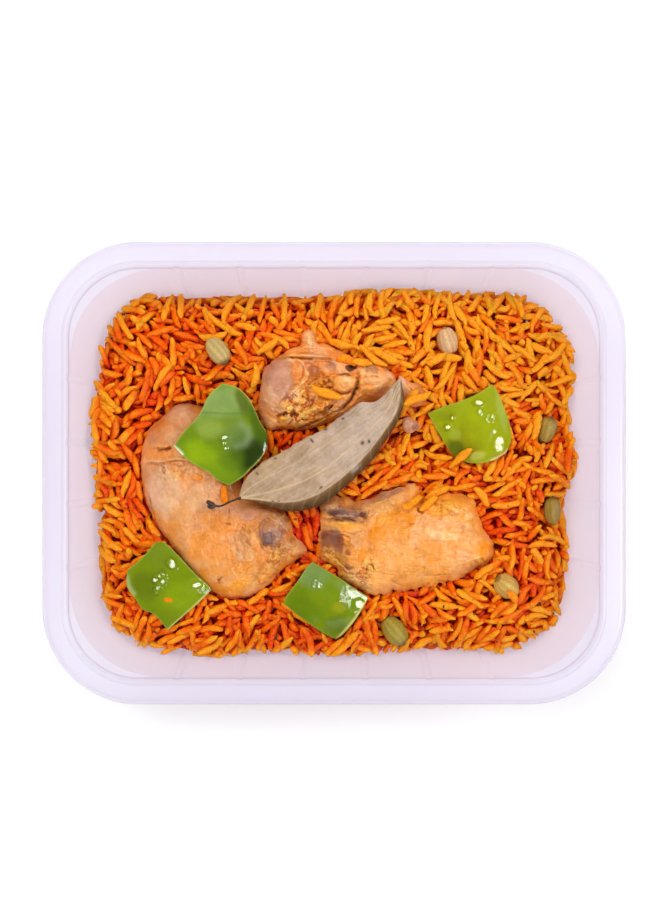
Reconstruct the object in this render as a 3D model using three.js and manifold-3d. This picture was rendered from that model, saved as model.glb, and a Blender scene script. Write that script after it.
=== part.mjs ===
// A ready meal of jollof rice: orange long-grain rice heaped in a see-through plastic tray, with three cuts
// and two shreds of cooked chicken, four squares of green pepper, a bay leaf and six cardamom pods.
//
// Millimetres, +Z up. The origin is the middle of the tray's underside, +X runs along the tray's long side
// and +Y along its short side. The tray stands on its flat base, and the food lies loose in it.

import * as THREE from "three";
import { mergeVertices } from "three/addons/utils/BufferGeometryUtils.js";
import Module from "manifold-3d";

const wasm = await Module();
wasm.setup();

// ---- Driving dimensions ----

const GAP = 0.35; // clearance between pieces that touch
const WALL_GAP = 0.6; // clearance between the rice and the tray

const TRAY = {
  length: 227,
  width: 180,
  height: 50,
  cornerRadius: 37.5,
  flange: 10, // width of the flat sealing rim
  wall: 1,
  draft: 0.18, // lean of the walls, in mm inwards for each mm down
  skirt: 4, // depth of the turned-down outer edge
  bend: 1.2, // size of the rounded edges of the flange
  floorRadius: 6,
  wallCornerRadius: 35, // rounder than the corners of the opening, which leaves a ledge in each corner
  ledgeDepth: 3,
  cornerSteps: 3,
};

const RIB = {
  pitch: 24.5,
  onLongWall: 6,
  onShortWall: 4,
  width: 3.2,
  depth: 0.9,
  foot: 9, // height at which the ribs begin
};

const RICE = {
  edge: 20, // height at the walls
  rise: 9, // how much higher the middle lies
  shoulder: 7, // distance from the wall in which most of that rise happens
  lump: 0.9,
  ringPoints: 52,
  insets: [1, 4, 9, 18, 32, 50],
  sites: 510, // places for grains over the tray's whole outline
  grainLength: 11.5,
  grainWidth: 3.1,
  grainHeight: 2.6,
  grainTilt: 0.12, // largest lean away from the surface, in radians
  grainLift: 0.45,
  seed: 7,
};

// Each cut is drawn by its outline from above, at its widest level, which is the middle one. Swellings are
// bumps and hollows on its top.
const MEAT = { fullness: 0.5, flatness: 0.75 };
const CUTS = [
  {
    name: "chicken_thigh",
    outline: [
      [-31, 26], [-25.5, 18.7], [-12, 20.5], [4.5, 24.8], [20.2, 31.3], [25.1, 40.6],
      [17.8, 46.2], [3.6, 49.9], [-8, 53.5], [-21, 48.7], [-30.3, 41],
    ],
    around: 26,
    levels: 8,
    centre: [-4, 36],
    bottom: 17,
    middle: 29,
    top: 37.5,
    swellings: [
      { at: [-23, 33], radius: 8, height: 2.6 },
      { at: [15, 38], radius: 8, height: 1.8 },
      { at: [5, 33], radius: 5, height: 1.6 },
      { at: [-8, 40], radius: 7, height: -4.5 },
      { at: [-10, 25], radius: 6, height: -3.5 },
      { at: [-8, 50], radius: 7, height: 1.6 },
    ],
  },
  {
    name: "chicken_breast",
    outline: [
      [-78, 3.7], [-76.1, -13.3], [-69.2, -26.2], [-56.6, -40.4], [-43.7, -50.5], [-27.5, -47.2],
      [-10.9, -32.7], [-17.8, -20], [-29, -11], [-37, 0], [-37, 19.5], [-48, 28], [-66.4, 26.4], [-76, 14],
    ],
    around: 36,
    levels: 8,
    centre: [-53, -14],
    bottom: 14,
    middle: 27,
    top: 35.8,
    swellings: [
      { at: [-66, -4], radius: 12, height: 1.6 },
      { at: [-45, -30], radius: 16, height: 2.4 },
      { at: [-24, -24], radius: 7, height: -2.2 },
      { at: [-74, 6], radius: 5, height: -1.6 },
      { at: [-62, 18], radius: 9, height: 0.6 },
    ],
  },
  {
    name: "chicken_chunk",
    outline: [
      [-4.9, -13.3], [6, -11], [18.2, -10.8], [34, -5], [44, -8.5], [56.6, -10.4], [60, -21.3],
      [65.5, -32.3], [57, -40.8], [37.2, -46.8], [14.6, -49.7], [2.8, -40.8], [-5.3, -30.6],
    ],
    around: 30,
    levels: 8,
    centre: [28, -28],
    bottom: 14,
    middle: 27,
    top: 37,
    swellings: [
      { at: [32, -30], radius: 17, height: 2.4 },
      { at: [2, -18], radius: 7, height: -1.8 },
      { at: [4, -30], radius: 6, height: -1.6 },
      { at: [44, -14], radius: 8, height: -1 },
    ],
  },
  {
    name: "chicken_shred_1",
    outline: [[27, 38.5], [32.5, 37.5], [36.5, 34], [37.4, 30.5], [33, 27], [28.5, 29]],
    around: 12,
    levels: 5,
    centre: [31.8, 33],
    bottom: 25,
    middle: 30.5,
    top: 34.5,
    swellings: [],
  },
  {
    name: "chicken_shred_2",
    outline: [[28.3, 22], [33, 21.5], [35, 18], [31, 15.5], [27.8, 18]],
    around: 12,
    levels: 5,
    centre: [31, 19],
    bottom: 24.5,
    middle: 29,
    top: 31.5,
    swellings: [],
  },
];

// Each pepper square is drawn by its corners from above. Bows push its edges outwards, and the arch bends it
// down towards the edges. Its height is that of the middle of its skin, and tilt is its rise along X and Y.
const PEPPER = { thickness: 4.2, steps: 4 };
const PEPPERS = [
  {
    name: "pepper_1",
    corners: [[-63.6, 10], [-40.7, -5.8], [-26.1, 10], [-43.5, 36.4]],
    bows: [0.8, -0.6, 1.5, 0.5],
    height: 42.4,
    arch: [1.6, 2.6],
    tilt: [-0.02, -0.03],
  },
  {
    name: "pepper_2",
    corners: [[49, 4.1], [71.2, 8.5], [63.9, 36.3], [37.8, 24.2]],
    bows: [2.2, 3, 0, 0.6],
    height: 36.2,
    arch: [2.4, 1.2],
    tilt: [0.06, 0.02],
  },
  {
    name: "pepper_3",
    corners: [[-84.2, -42], [-67, -64.1], [-49.3, -47.6], [-70.2, -27.2]],
    bows: [1.6, 0.3, 0.3, 0.8],
    height: 35.6,
    arch: [1.4, 2.2],
    tilt: [0.14, 0.05],
  },
  {
    name: "pepper_4",
    corners: [[-20.9, -52.4], [1.6, -67.7], [14.4, -51.2], [-8.8, -36]],
    bows: [0.3, 0.3, 0.6, 0.3],
    height: 35.2,
    arch: [1.2, 1.6],
    tilt: [0.03, 0.08],
  },
];

// The leaf's spine runs from its base to its tip, and its two halves are of different widths.
const LEAF = {
  spine: [
    [-37.9, -9.8, 41], [-25.3, -5, 40.6], [-13.4, -0.5, 40.2], [-1.6, 6, 40.4], [10.3, 15.5, 41.4],
    [20.2, 27, 42.6], [27.5, 38.5, 41],
  ],
  upperHalf: 11,
  lowerHalf: 14,
  roundness: 0.55,
  tipHalf: 0.5,
  curl: 4.5, // how far the wider half bends down
  ripple: 0.5,
  thickness: 0.8,
  stepsAlong: 13,
  stepsAcross: 4,
  stalk: [[-36.5, -9.2, 41.1], [-41, -12.2, 41.2], [-45, -13.2, 41], [-49.8, -12.1, 40.6]],
  stalkDiameter: 1.5,
};

// Each pod: where it lies, the way it points, how steeply, and its length and width.
const POD = { sides: 9, ridge: 0.06, lift: 0.6 };
const PODS = [
  { at: [-47, 48.8], turn: -55, lean: 10, length: 13.5, width: 8.6 },
  { at: [46, 53.2], turn: -76, lean: -18, length: 12.5, width: 8 },
  { at: [87, 17.1], turn: 74, lean: 20, length: 12.5, width: 7.6 },
  { at: [89.2, -15.7], turn: 92, lean: 6, length: 12.5, width: 7.2 },
  { at: [69.7, -46], turn: -40, lean: -24, length: 12, width: 8.8 },
  { at: [24.7, -64.6], turn: -54, lean: 8, length: 13.5, width: 9 },
];

// ---- Solids ----

// A manifold solid of a closed three.js geometry.
function solidOf(geometry) {
  const bare = geometry.clone();
  bare.deleteAttribute("normal");
  bare.deleteAttribute("uv");
  const merged = mergeVertices(bare, 1e-4);
  const mesh = new wasm.Mesh({
    numProp: 3,
    vertProperties: merged.attributes.position.array,
    triVerts: new Uint32Array(merged.index.array),
  });
  return new wasm.Manifold(mesh);
}

function geometryOf(points, triangles) {
  const geometry = new THREE.BufferGeometry();
  geometry.setFromPoints(points);
  geometry.setIndex(triangles);
  return geometry;
}

function middleOf(points) {
  return points.reduce((sum, p) => sum.add(p), new THREE.Vector3()).divideScalar(points.length);
}

// A closed solid of rings with equally many points, counter-clockwise from above and stacked from its
// underside to its top. A fan closes each end.
function loft(rings) {
  const count = rings[0].length;
  const points = rings.flat();
  const triangles = [];
  for (let k = 0; k + 1 < rings.length; k++) {
    for (let i = 0; i < count; i++) {
      const a = k * count + i;
      const b = k * count + ((i + 1) % count);
      triangles.push(a, b, b + count, a, b + count, a + count);
    }
  }
  const last = (rings.length - 1) * count;
  points.push(middleOf(rings[0]), middleOf(rings.at(-1)));
  for (let i = 0; i < count; i++) {
    const next = (i + 1) % count;
    triangles.push(points.length - 2, next, i);
    triangles.push(points.length - 1, last + i, last + next);
  }
  return solidOf(geometryOf(points, triangles));
}

// A sheet of even thickness under a surface: surface(u, v) is a point of its upper face, with u and v from
// 0 to 1.
function sheet(surface, stepsU, stepsV, thickness) {
  const upper = [];
  const lower = [];
  const nudge = 1e-3;
  for (let j = 0; j <= stepsV; j++) {
    for (let i = 0; i <= stepsU; i++) {
      const u = i / stepsU;
      const v = j / stepsV;
      const along = surface(u + nudge, v).sub(surface(u - nudge, v));
      const across = surface(u, v + nudge).sub(surface(u, v - nudge));
      const down = along.cross(across).normalize().multiplyScalar(-thickness);
      upper.push(surface(u, v));
      lower.push(surface(u, v).add(down));
    }
  }
  const row = stepsU + 1;
  const below = upper.length;
  const triangles = [];
  for (let j = 0; j < stepsV; j++) {
    for (let i = 0; i < stepsU; i++) {
      const a = j * row + i;
      const c = a + row + 1;
      triangles.push(a, a + 1, c, a, c, a + row);
      triangles.push(a + below, c + below, a + 1 + below, a + below, a + row + below, c + below);
    }
  }
  const wallBetween = (a, b) => triangles.push(b, a, a + below, b, a + below, b + below);
  for (let i = 0; i < stepsU; i++) {
    wallBetween(i, i + 1);
    wallBetween(stepsV * row + i + 1, stepsV * row + i);
  }
  for (let j = 0; j < stepsV; j++) {
    wallBetween((j + 1) * row, j * row);
    wallBetween(j * row + stepsU, (j + 1) * row + stepsU);
  }
  return solidOf(geometryOf([...upper, ...lower], triangles));
}

// The largest body of a solid, which drops the scraps that a cut leaves loose.
function largest(solid) {
  return solid.decompose().sort((a, b) => b.volume() - a.volume())[0];
}

// ---- Tray ----

function roundedRectangle(halfX, halfY, radius) {
  const shape = new THREE.Shape();
  shape.absarc(halfX - radius, halfY - radius, radius, 0, Math.PI / 2);
  shape.absarc(radius - halfX, halfY - radius, radius, Math.PI / 2, Math.PI);
  shape.absarc(radius - halfX, radius - halfY, radius, Math.PI, Math.PI * 1.5);
  shape.absarc(halfX - radius, radius - halfY, radius, Math.PI * 1.5, Math.PI * 2);
  return shape;
}

// A ring round the tray, so far in from its outer edge.
function trayRing(inset, radius, z) {
  const shape = roundedRectangle(TRAY.length / 2 - inset, TRAY.width / 2 - inset, radius);
  return shape.getPoints(TRAY.cornerSteps).map((p) => new THREE.Vector3(p.x, p.y, z));
}

// How far in from the tray's outer edge the inside of its wall lies at a height, with the floor's fillet.
function cavityInset(z) {
  const aboveFloor = Math.max(0, TRAY.wall + TRAY.floorRadius - z);
  const fillet = TRAY.floorRadius - Math.sqrt(Math.max(0, TRAY.floorRadius ** 2 - aboveFloor ** 2));
  return TRAY.flange + TRAY.draft * (TRAY.height - z) + fillet;
}

function cavityRadius(z) {
  return TRAY.wallCornerRadius - 0.7 * (cavityInset(z) - TRAY.flange);
}

function trayShell() {
  const { height, wall, flange, bend, skirt, floorRadius, ledgeDepth, cornerRadius } = TRAY;
  const flangeRing = (inset, z) => trayRing(inset, cornerRadius - inset, z);
  const insideRing = (z) => trayRing(cavityInset(z), cavityRadius(z), z);
  const outsideRing = (z) => trayRing(cavityInset(z + wall) - wall, cavityRadius(z + wall) + wall, z);
  const filletHeights = [0, 0.12, 0.4, 1].map((share) => share * floorRadius);
  const ledge = height - ledgeDepth;
  const throat = flange + TRAY.draft * ledgeDepth;
  return loft([
    ...filletHeights.map((z) => outsideRing(z)),
    outsideRing(ledge - 2 * wall),
    flangeRing(throat - 1.2 * wall, ledge - 0.4 * wall),
    flangeRing(flange - 1.5 * wall, height - wall),
    flangeRing(bend + wall, height - wall),
    flangeRing(wall, height - skirt),
    flangeRing(0, height - skirt),
    flangeRing(0, height - bend),
    flangeRing(0.3 * bend, height - 0.3 * bend),
    flangeRing(bend, height),
    flangeRing(flange - bend, height),
    flangeRing(flange, height - bend),
    flangeRing(throat, ledge + 0.5),
    insideRing(ledge),
    ...filletHeights.map((z) => insideRing(wall + z)).reverse(),
  ]);
}

// A bar of trapezium section that follows the wall on the +X side, at y = 0. Its section runs from a depth
// inside the wall's inner face, where it is widest, to a depth outside it.
function wallBar(halfLength, inside, outside, width, foot, head) {
  const ringAt = (z) => {
    const face = halfLength - cavityInset(z);
    const narrow = width / 2 - 0.6 * (outside - inside);
    return [
      [face - inside, -width / 2],
      [face + outside, -narrow],
      [face + outside, narrow],
      [face - inside, width / 2],
    ].map(([x, y]) => new THREE.Vector3(x, y, z));
  };
  return loft([ringAt(foot), ringAt(head)]);
}

// The places of the ribs on a wall, evenly spaced about its middle.
function stations(count, pitch) {
  return Array.from({ length: count }, (_, i) => (i - (count - 1) / 2) * pitch);
}

function traySolid() {
  const { length, width, height, wall } = TRAY;
  const ribs = [];
  const grooves = [];
  const walls = [
    { turn: 0, half: length / 2, count: RIB.onShortWall },
    { turn: 90, half: width / 2, count: RIB.onLongWall },
    { turn: 180, half: length / 2, count: RIB.onShortWall },
    { turn: 270, half: width / 2, count: RIB.onLongWall },
  ];
  for (const side of walls) {
    const ribWidth = RIB.width + 2 * wall;
    const ribFoot = RIB.foot - wall;
    const rib = wallBar(side.half, -0.6 * wall, RIB.depth + wall, ribWidth, ribFoot, height - wall / 2);
    const groove = wallBar(side.half, 0.4 * wall, RIB.depth, RIB.width, RIB.foot, height + wall);
    for (const y of stations(side.count, RIB.pitch)) {
      ribs.push(rib.translate([0, y, 0]).rotate([0, 0, side.turn]));
      grooves.push(groove.translate([0, y, 0]).rotate([0, 0, side.turn]));
    }
  }
  const ribbed = wasm.Manifold.union([trayShell(), ...ribs]);
  return largest(ribbed.subtract(wasm.Manifold.union(grooves)));
}

// ---- Toppings ----

// A cut of meat. Its outline is drawn in towards its centre in steps, to a domed top and underside.
function meatSolid(cut, grow = 0) {
  const curve = new THREE.CatmullRomCurve3(cut.outline.map(([x, y]) => new THREE.Vector3(x, y, 0)), true);
  const outline = curve.getSpacedPoints(cut.around).slice(0, -1);
  if (THREE.ShapeUtils.isClockWise(outline)) outline.reverse();
  const centre = new THREE.Vector3(...cut.centre, 0);
  const swelling = (p) =>
    cut.swellings.reduce((sum, s) => {
      const away = Math.hypot(p.x - s.at[0], p.y - s.at[1]) / s.radius;
      return sum + s.height * Math.exp(-away * away);
    }, 0);
  const rings = [];
  for (let k = 1; k < cut.levels; k++) {
    const angle = (k / cut.levels - 0.5) * Math.PI;
    const reach = Math.cos(angle) ** MEAT.fullness;
    const level = Math.sign(angle) * Math.abs(Math.sin(angle)) ** MEAT.flatness;
    const span = level > 0 ? cut.top - cut.middle + grow : cut.middle - cut.bottom + grow;
    rings.push(
      outline.map((p) => {
        const out = p.clone().sub(centre);
        const place = centre.clone().addScaledVector(out, reach * (1 + grow / out.length()));
        place.z = cut.middle + level * span + Math.max(0, level) ** 2 * swelling(place);
        return place;
      }),
    );
  }
  return loft(rings);
}

// A square of pepper: a bowed four-sided patch, arched over both of its middles.
function pepperSolid(pepper, grow = 0) {
  const [a, b, c, d] = pepper.corners.map(([x, y]) => new THREE.Vector3(x, y, 0));
  const middle = a.clone().add(b).add(c).add(d).divideScalar(4);
  const outwards = (p, q) => new THREE.Vector3(q.y - p.y, p.x - q.x, 0).normalize();
  const side = (a.distanceTo(b) + b.distanceTo(c)) / 2;
  const spread = (t) => 0.5 + (t - 0.5) * (1 + (2 * grow) / side);
  const surface = (u0, v0) => {
    const u = spread(u0);
    const v = spread(v0);
    const p = new THREE.Vector3();
    p.addScaledVector(a, (1 - u) * (1 - v)).addScaledVector(b, u * (1 - v));
    p.addScaledVector(c, u * v).addScaledVector(d, (1 - u) * v);
    const bulgeU = 4 * u * (1 - u);
    const bulgeV = 4 * v * (1 - v);
    p.addScaledVector(outwards(a, b), pepper.bows[0] * bulgeU * (1 - v));
    p.addScaledVector(outwards(b, c), pepper.bows[1] * bulgeV * u);
    p.addScaledVector(outwards(c, d), pepper.bows[2] * bulgeU * v);
    p.addScaledVector(outwards(d, a), pepper.bows[3] * bulgeV * (1 - u));
    const tilt = (p.x - middle.x) * pepper.tilt[0] + (p.y - middle.y) * pepper.tilt[1];
    const arch = pepper.arch[0] * (1 - bulgeU) + pepper.arch[1] * (1 - bulgeV);
    p.z = pepper.height + tilt - arch + grow;
    return p;
  };
  return sheet(surface, PEPPER.steps, PEPPER.steps, PEPPER.thickness + 2 * grow);
}

// The bay leaf: a thin rippled blade along its spine, with its stalk.
function leafSolid(grow = 0) {
  const spine = new THREE.CatmullRomCurve3(LEAF.spine.map((p) => new THREE.Vector3(...p)));
  const up = new THREE.Vector3(0, 0, 1);
  const surface = (u, v) => {
    const along = Math.min(1, Math.max(0, u));
    const swell = Math.sin(Math.PI * along) ** LEAF.roundness;
    const t = 2 * v - 1;
    const half = (t < 0 ? LEAF.lowerHalf : LEAF.upperHalf) * swell + LEAF.tipHalf + grow;
    const side = up.clone().cross(spine.getTangent(along)).setZ(0).normalize();
    const place = spine.getPoint(along).addScaledVector(side, t * half);
    place.addScaledVector(spine.getTangent(along), u - along);
    const droop = t < 0 ? LEAF.curl * swell * t * t : 0.2 * LEAF.curl * swell * t * t;
    place.z += LEAF.ripple * Math.sin(9 * along + 2 * t) * swell - droop + grow;
    return place;
  };
  const blade = sheet(surface, LEAF.stepsAlong, LEAF.stepsAcross, LEAF.thickness + 2 * grow);
  const path = new THREE.CatmullRomCurve3(LEAF.stalk.map((p) => new THREE.Vector3(...p)));
  const section = new THREE.Shape().absarc(0, 0, LEAF.stalkDiameter / 2 + grow, 0, Math.PI * 2);
  const stalk = new THREE.ExtrudeGeometry(section, { steps: 4, curveSegments: 3, extrudePath: path });
  return largest(blade.add(solidOf(stalk)));
}

// A cardamom pod: a ridged spindle with a blunt foot and a short beak, half sunk in the rice.
function podSolid(pod, grow = 0) {
  const profile = [
    [0, -0.5], [0.24, -0.42], [0.42, -0.25], [0.5, 0], [0.4, 0.25], [0.18, 0.42], [0, 0.5],
  ].map(([r, h]) => new THREE.Vector2(r * (pod.width + 2 * grow), h * (pod.length + 2 * grow)));
  const geometry = new THREE.LatheGeometry(profile, POD.sides);
  const position = geometry.attributes.position;
  for (let i = 0; i < position.count; i++) {
    const p = new THREE.Vector3().fromBufferAttribute(position, i);
    const ridge = 1 + POD.ridge * Math.cos(3 * Math.atan2(p.z, p.x));
    position.setXYZ(i, p.x * ridge, p.y, p.z * ridge);
  }
  geometry.rotateZ(-Math.PI / 2);
  geometry.rotateY(THREE.MathUtils.degToRad(-pod.lean));
  geometry.rotateZ(THREE.MathUtils.degToRad(pod.turn));
  geometry.translate(...podPlace(pod));
  return solidOf(geometry);
}

function podPlace(pod) {
  return [...pod.at, heapHeight(...pod.at) + POD.lift];
}

// ---- Rice ----

// The distance of a place from the wall of the tray's cavity at a height, positive inside.
function wallDistance(x, y, z) {
  const inset = cavityInset(z);
  const radius = cavityRadius(z);
  const outX = Math.abs(x) - (TRAY.length / 2 - inset - radius);
  const outY = Math.abs(y) - (TRAY.width / 2 - inset - radius);
  const corner = Math.hypot(Math.max(outX, 0), Math.max(outY, 0));
  return radius - corner - Math.min(Math.max(outX, outY), 0);
}

// The height of the rice at a place: low at the walls and crowned in the middle, with soft lumps.
function heapHeight(x, y) {
  const { edge, rise, shoulder, lump } = RICE;
  const fromWall = Math.max(0, wallDistance(x, y, edge));
  const crown = rise * (1 - Math.exp(-fromWall / shoulder));
  const lumps = Math.sin(x / 9.1 + 1.3 * Math.sin(y / 13)) + Math.sin(y / 7.7 + 1.1 * Math.sin(x / 17) + 2);
  return edge + crown + lump * lumps * Math.min(1, 0.4 + fromWall / 20);
}

// The bare heap, which fills the tray from wall to wall.
function riceCore() {
  const ringAt = (inset, radius, heightAt) => {
    const shape = roundedRectangle(TRAY.length / 2 - inset, TRAY.width / 2 - inset, radius);
    const points = shape.getSpacedPoints(RICE.ringPoints).slice(0, -1);
    return points.map((p) => new THREE.Vector3(p.x, p.y, heightAt(p.x, p.y)));
  };
  const sideRing = (z) => ringAt(cavityInset(z) + WALL_GAP, cavityRadius(z) - WALL_GAP, () => z);
  const brim = cavityInset(RICE.edge);
  const brimRadius = cavityRadius(RICE.edge);
  const topRing = (inset) => ringAt(brim + inset, Math.max(brimRadius - inset, 8), heapHeight);
  const floor = TRAY.wall + WALL_GAP;
  const sideHeights = [floor, floor + 1, floor + 3, floor + TRAY.floorRadius, RICE.edge - 3];
  return loft([...sideHeights.map(sideRing), ...RICE.insets.map(topRing)]);
}

// A seeded stream of numbers from 0 to 1.
function randomStream(seed) {
  let state = seed;
  return () => {
    state = (state * 1664525 + 1013904223) % 4294967296;
    return state / 4294967296;
  };
}

// A grain of rice of diamond section, lying along +X.
function grainSolid(length, width, height) {
  const shares = [[0, -0.5], [0.5, -0.3], [0.5, 0.3], [0, 0.5]];
  const profile = shares.map(([r, h]) => new THREE.Vector2(r * width, h * length));
  const geometry = new THREE.LatheGeometry(profile, 4);
  geometry.rotateZ(Math.PI / 2);
  geometry.scale(1, 1, height / width);
  return solidOf(geometry);
}

// Grains spread evenly over the heap, each lying along its surface. Those that would cross the tray or a
// topping, or that would be hidden under a topping, are left out.
function grainSolids(toppings) {
  const random = randomStream(RICE.seed);
  const between = (low, high) => low + (high - low) * random();
  const needle = solidOf(new THREE.BoxGeometry(1, 1, TRAY.height));
  const touches = (solid) => solid.intersect(toppings).volume() > 0;
  const grains = [];
  for (let i = 1; i <= RICE.sites; i++) {
    const x = (((i * 0.7548776662) % 1) - 0.5) * TRAY.length;
    const y = (((i * 0.569840291) % 1) - 0.5) * TRAY.width;
    const length = RICE.grainLength * between(0.8, 1.1);
    const width = RICE.grainWidth * between(0.9, 1.1);
    const turn = between(0, Math.PI);
    const reachX = (Math.cos(turn) * length) / 2;
    const reachY = (Math.sin(turn) * length) / 2;
    const low = heapHeight(x - reachX, y - reachY);
    const high = heapHeight(x + reachX, y + reachY);
    const lean = Math.atan2(high - low, length) + between(-RICE.grainTilt, RICE.grainTilt);
    const z = (low + high) / 2 + RICE.grainLift * between(0.5, 1.5);
    const clear = (share) => wallDistance(x + share * reachX, y + share * reachY, z - width) > width;
    if (![-1, 0, 1].every(clear) || touches(needle.translate([x, y, z]))) continue;
    const grain = grainSolid(length, width, RICE.grainHeight)
      .rotate([0, -THREE.MathUtils.radToDeg(lean), THREE.MathUtils.radToDeg(turn)])
      .translate([x, y, z]);
    if (!touches(grain)) grains.push(grain);
  }
  return grains;
}

function riceSolid(toppings) {
  return largest(wasm.Manifold.union([riceCore(), ...grainSolids(toppings)]).subtract(toppings));
}

// ---- The meal ----

const material = (color, roughness, more = {}) =>
  new THREE.MeshStandardMaterial({ color, roughness, ...more });

const MATERIALS = {
  plastic: material(0xe6e1ee, 0.3, { transparent: true, opacity: 0.5 }),
  rice: material(0xe87a10, 0.5),
  chicken: material(0xd99a62, 0.55),
  pepper: material(0x6f9a1c, 0.25),
  leaf: material(0x9c8f6d, 0.7),
  pod: material(0xa9a35c, 0.6),
};

// A named mesh of a solid, with its own origin at a place.
function meshOf(name, solid, surface, place = [0, 0, 0]) {
  const { vertProperties, triVerts } = solid.getMesh();
  const geometry = new THREE.BufferGeometry();
  geometry.setAttribute("position", new THREE.BufferAttribute(new Float32Array(vertProperties), 3));
  geometry.setIndex(new THREE.BufferAttribute(new Uint32Array(triVerts), 1));
  geometry.translate(...place.map((v) => -v));
  geometry.computeVertexNormals();
  const mesh = new THREE.Mesh(geometry, surface);
  mesh.name = name;
  mesh.position.set(...place);
  return mesh;
}

// The toppings, from the top one down.
const LAYERS = [
  { name: "bay_leaf", surface: MATERIALS.leaf, place: LEAF.spine[0], make: leafSolid },
  ...PEPPERS.map((pepper) => ({
    name: pepper.name,
    surface: MATERIALS.pepper,
    place: [...pepper.corners[0], pepper.height],
    make: (grow) => pepperSolid(pepper, grow),
  })),
  ...CUTS.map((cut) => ({
    name: cut.name,
    surface: MATERIALS.chicken,
    place: [...cut.centre, cut.middle],
    make: (grow) => meatSolid(cut, grow),
  })),
  ...PODS.map((pod, i) => ({
    name: `cardamom_${i + 1}`,
    surface: MATERIALS.pod,
    place: podPlace(pod),
    make: (grow) => podSolid(pod, grow),
  })),
];

const meal = new THREE.Group();
meal.add(meshOf("tray", traySolid(), MATERIALS.plastic));

// Each topping is cut to clear those that lie over it, and the rice to clear them all.
const cleared = [];
for (const { name, surface, place, make } of LAYERS) {
  const solid = largest(make(0).subtract(wasm.Manifold.union(cleared)));
  meal.add(meshOf(name, solid, surface, place));
  cleared.push(make(GAP));
}
meal.add(meshOf("rice", riceSolid(wasm.Manifold.union(cleared)), MATERIALS.rice));

export default meal;
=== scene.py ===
"""Jollof rice in a translucent tray: rice grains, chicken, green pepper, a bay leaf and cardamom pods.

Shapes are worked out in millimetres, in the part's own frame, and turned into metres when a mesh is made.
Places are (x, y) seen from above, +x to the right and +y away from the viewer. Angles in the tables are in
degrees."""

import math

import bpy
import numpy as np
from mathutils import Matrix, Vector


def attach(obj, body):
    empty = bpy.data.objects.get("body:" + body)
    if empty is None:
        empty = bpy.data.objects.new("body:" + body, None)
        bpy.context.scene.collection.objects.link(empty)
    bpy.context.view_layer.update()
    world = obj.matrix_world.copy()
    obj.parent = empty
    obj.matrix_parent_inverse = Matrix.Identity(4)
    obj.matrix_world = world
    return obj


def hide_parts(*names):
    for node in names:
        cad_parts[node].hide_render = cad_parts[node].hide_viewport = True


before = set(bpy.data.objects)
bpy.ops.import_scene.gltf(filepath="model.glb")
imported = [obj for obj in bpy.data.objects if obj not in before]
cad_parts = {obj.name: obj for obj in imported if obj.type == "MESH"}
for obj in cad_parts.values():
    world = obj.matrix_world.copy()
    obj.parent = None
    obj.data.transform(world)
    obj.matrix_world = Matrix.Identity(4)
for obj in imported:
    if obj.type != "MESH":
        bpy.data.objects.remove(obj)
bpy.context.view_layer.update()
MM = 0.001
rng = np.random.default_rng(20)

# ---------------------------------------------------------------- tray and heap, with the sizes of the solids

LENGTH, WIDTH, HEIGHT = 227.0, 180.0, 50.0
FLANGE = 10.0  # width of the flat sealing rim
WALL = 1.0  # thickness of the plastic
DRAFT = 0.18  # lean of the walls, in mm inwards for each mm down
SKIRT = 4.0  # depth of the turned-down outer edge
LEDGE = 3.0  # depth of the ledge inside the rim
RIM_R, WALL_R = 37.5, 35.0  # radii of the rim's and the walls' corners
FLOOR_R = 6.0  # radius of the edge round the floor
CORNER_LOSS = 0.7  # how much the walls' corner radius shrinks for each mm that they come in
LONG_RIBS, SHORT_RIBS = 6, 4  # how many flutes the long and the short walls have
RIB_PITCH, RIB_WIDTH, RIB_DEPTH = 24.5, 3.2, 0.9
EDGE = 20.0  # height of the rice at the walls
RISE = 9.0  # how much higher its middle lies
SHOULDER = 7.0  # how far from the wall most of that rise happens
LUMP = 0.9  # half height of the heap's lumps


def cavity_inset(z):
    """How far the inside of the wall lies in from the tray's edge at a height."""
    above = np.maximum(0.0, WALL + FLOOR_R - z)
    fillet = FLOOR_R - np.sqrt(np.maximum(0.0, FLOOR_R**2 - above**2))
    return FLANGE + DRAFT * (HEIGHT - z) + fillet


def cavity_radius(z):
    """The radius of the wall's corners at a height."""
    return WALL_R - CORNER_LOSS * (cavity_inset(z) - FLANGE)


def wall_distance(x, y, z):
    """How far a place lies inside the tray's wall at a height."""
    inset, radius = cavity_inset(z), cavity_radius(z)
    ox = np.abs(x) - (LENGTH / 2 - inset - radius)
    oy = np.abs(y) - (WIDTH / 2 - inset - radius)
    corner = np.hypot(np.maximum(ox, 0), np.maximum(oy, 0))
    return radius - corner - np.minimum(np.maximum(ox, oy), 0)


def heap(x, y):
    """The height of the rice at a place."""
    d = np.maximum(0, wall_distance(x, y, EDGE))
    crown = RISE * (1 - np.exp(-d / SHOULDER))
    lumps = np.sin(x / 9.1 + 1.3 * np.sin(y / 13)) + np.sin(y / 7.7 + 1.1 * np.sin(x / 17) + 2)
    return EDGE + crown + LUMP * lumps * np.minimum(1, 0.4 + d / 20)


# ---------------------------------------------------------------- noise and small maths

TABLE = np.random.default_rng(5).normal(size=(256, 3))
TABLE /= np.linalg.norm(TABLE, axis=1)[:, None]
CURVE_STEPS = np.linspace(0, 1, 24, endpoint=False)[:, None]


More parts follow.
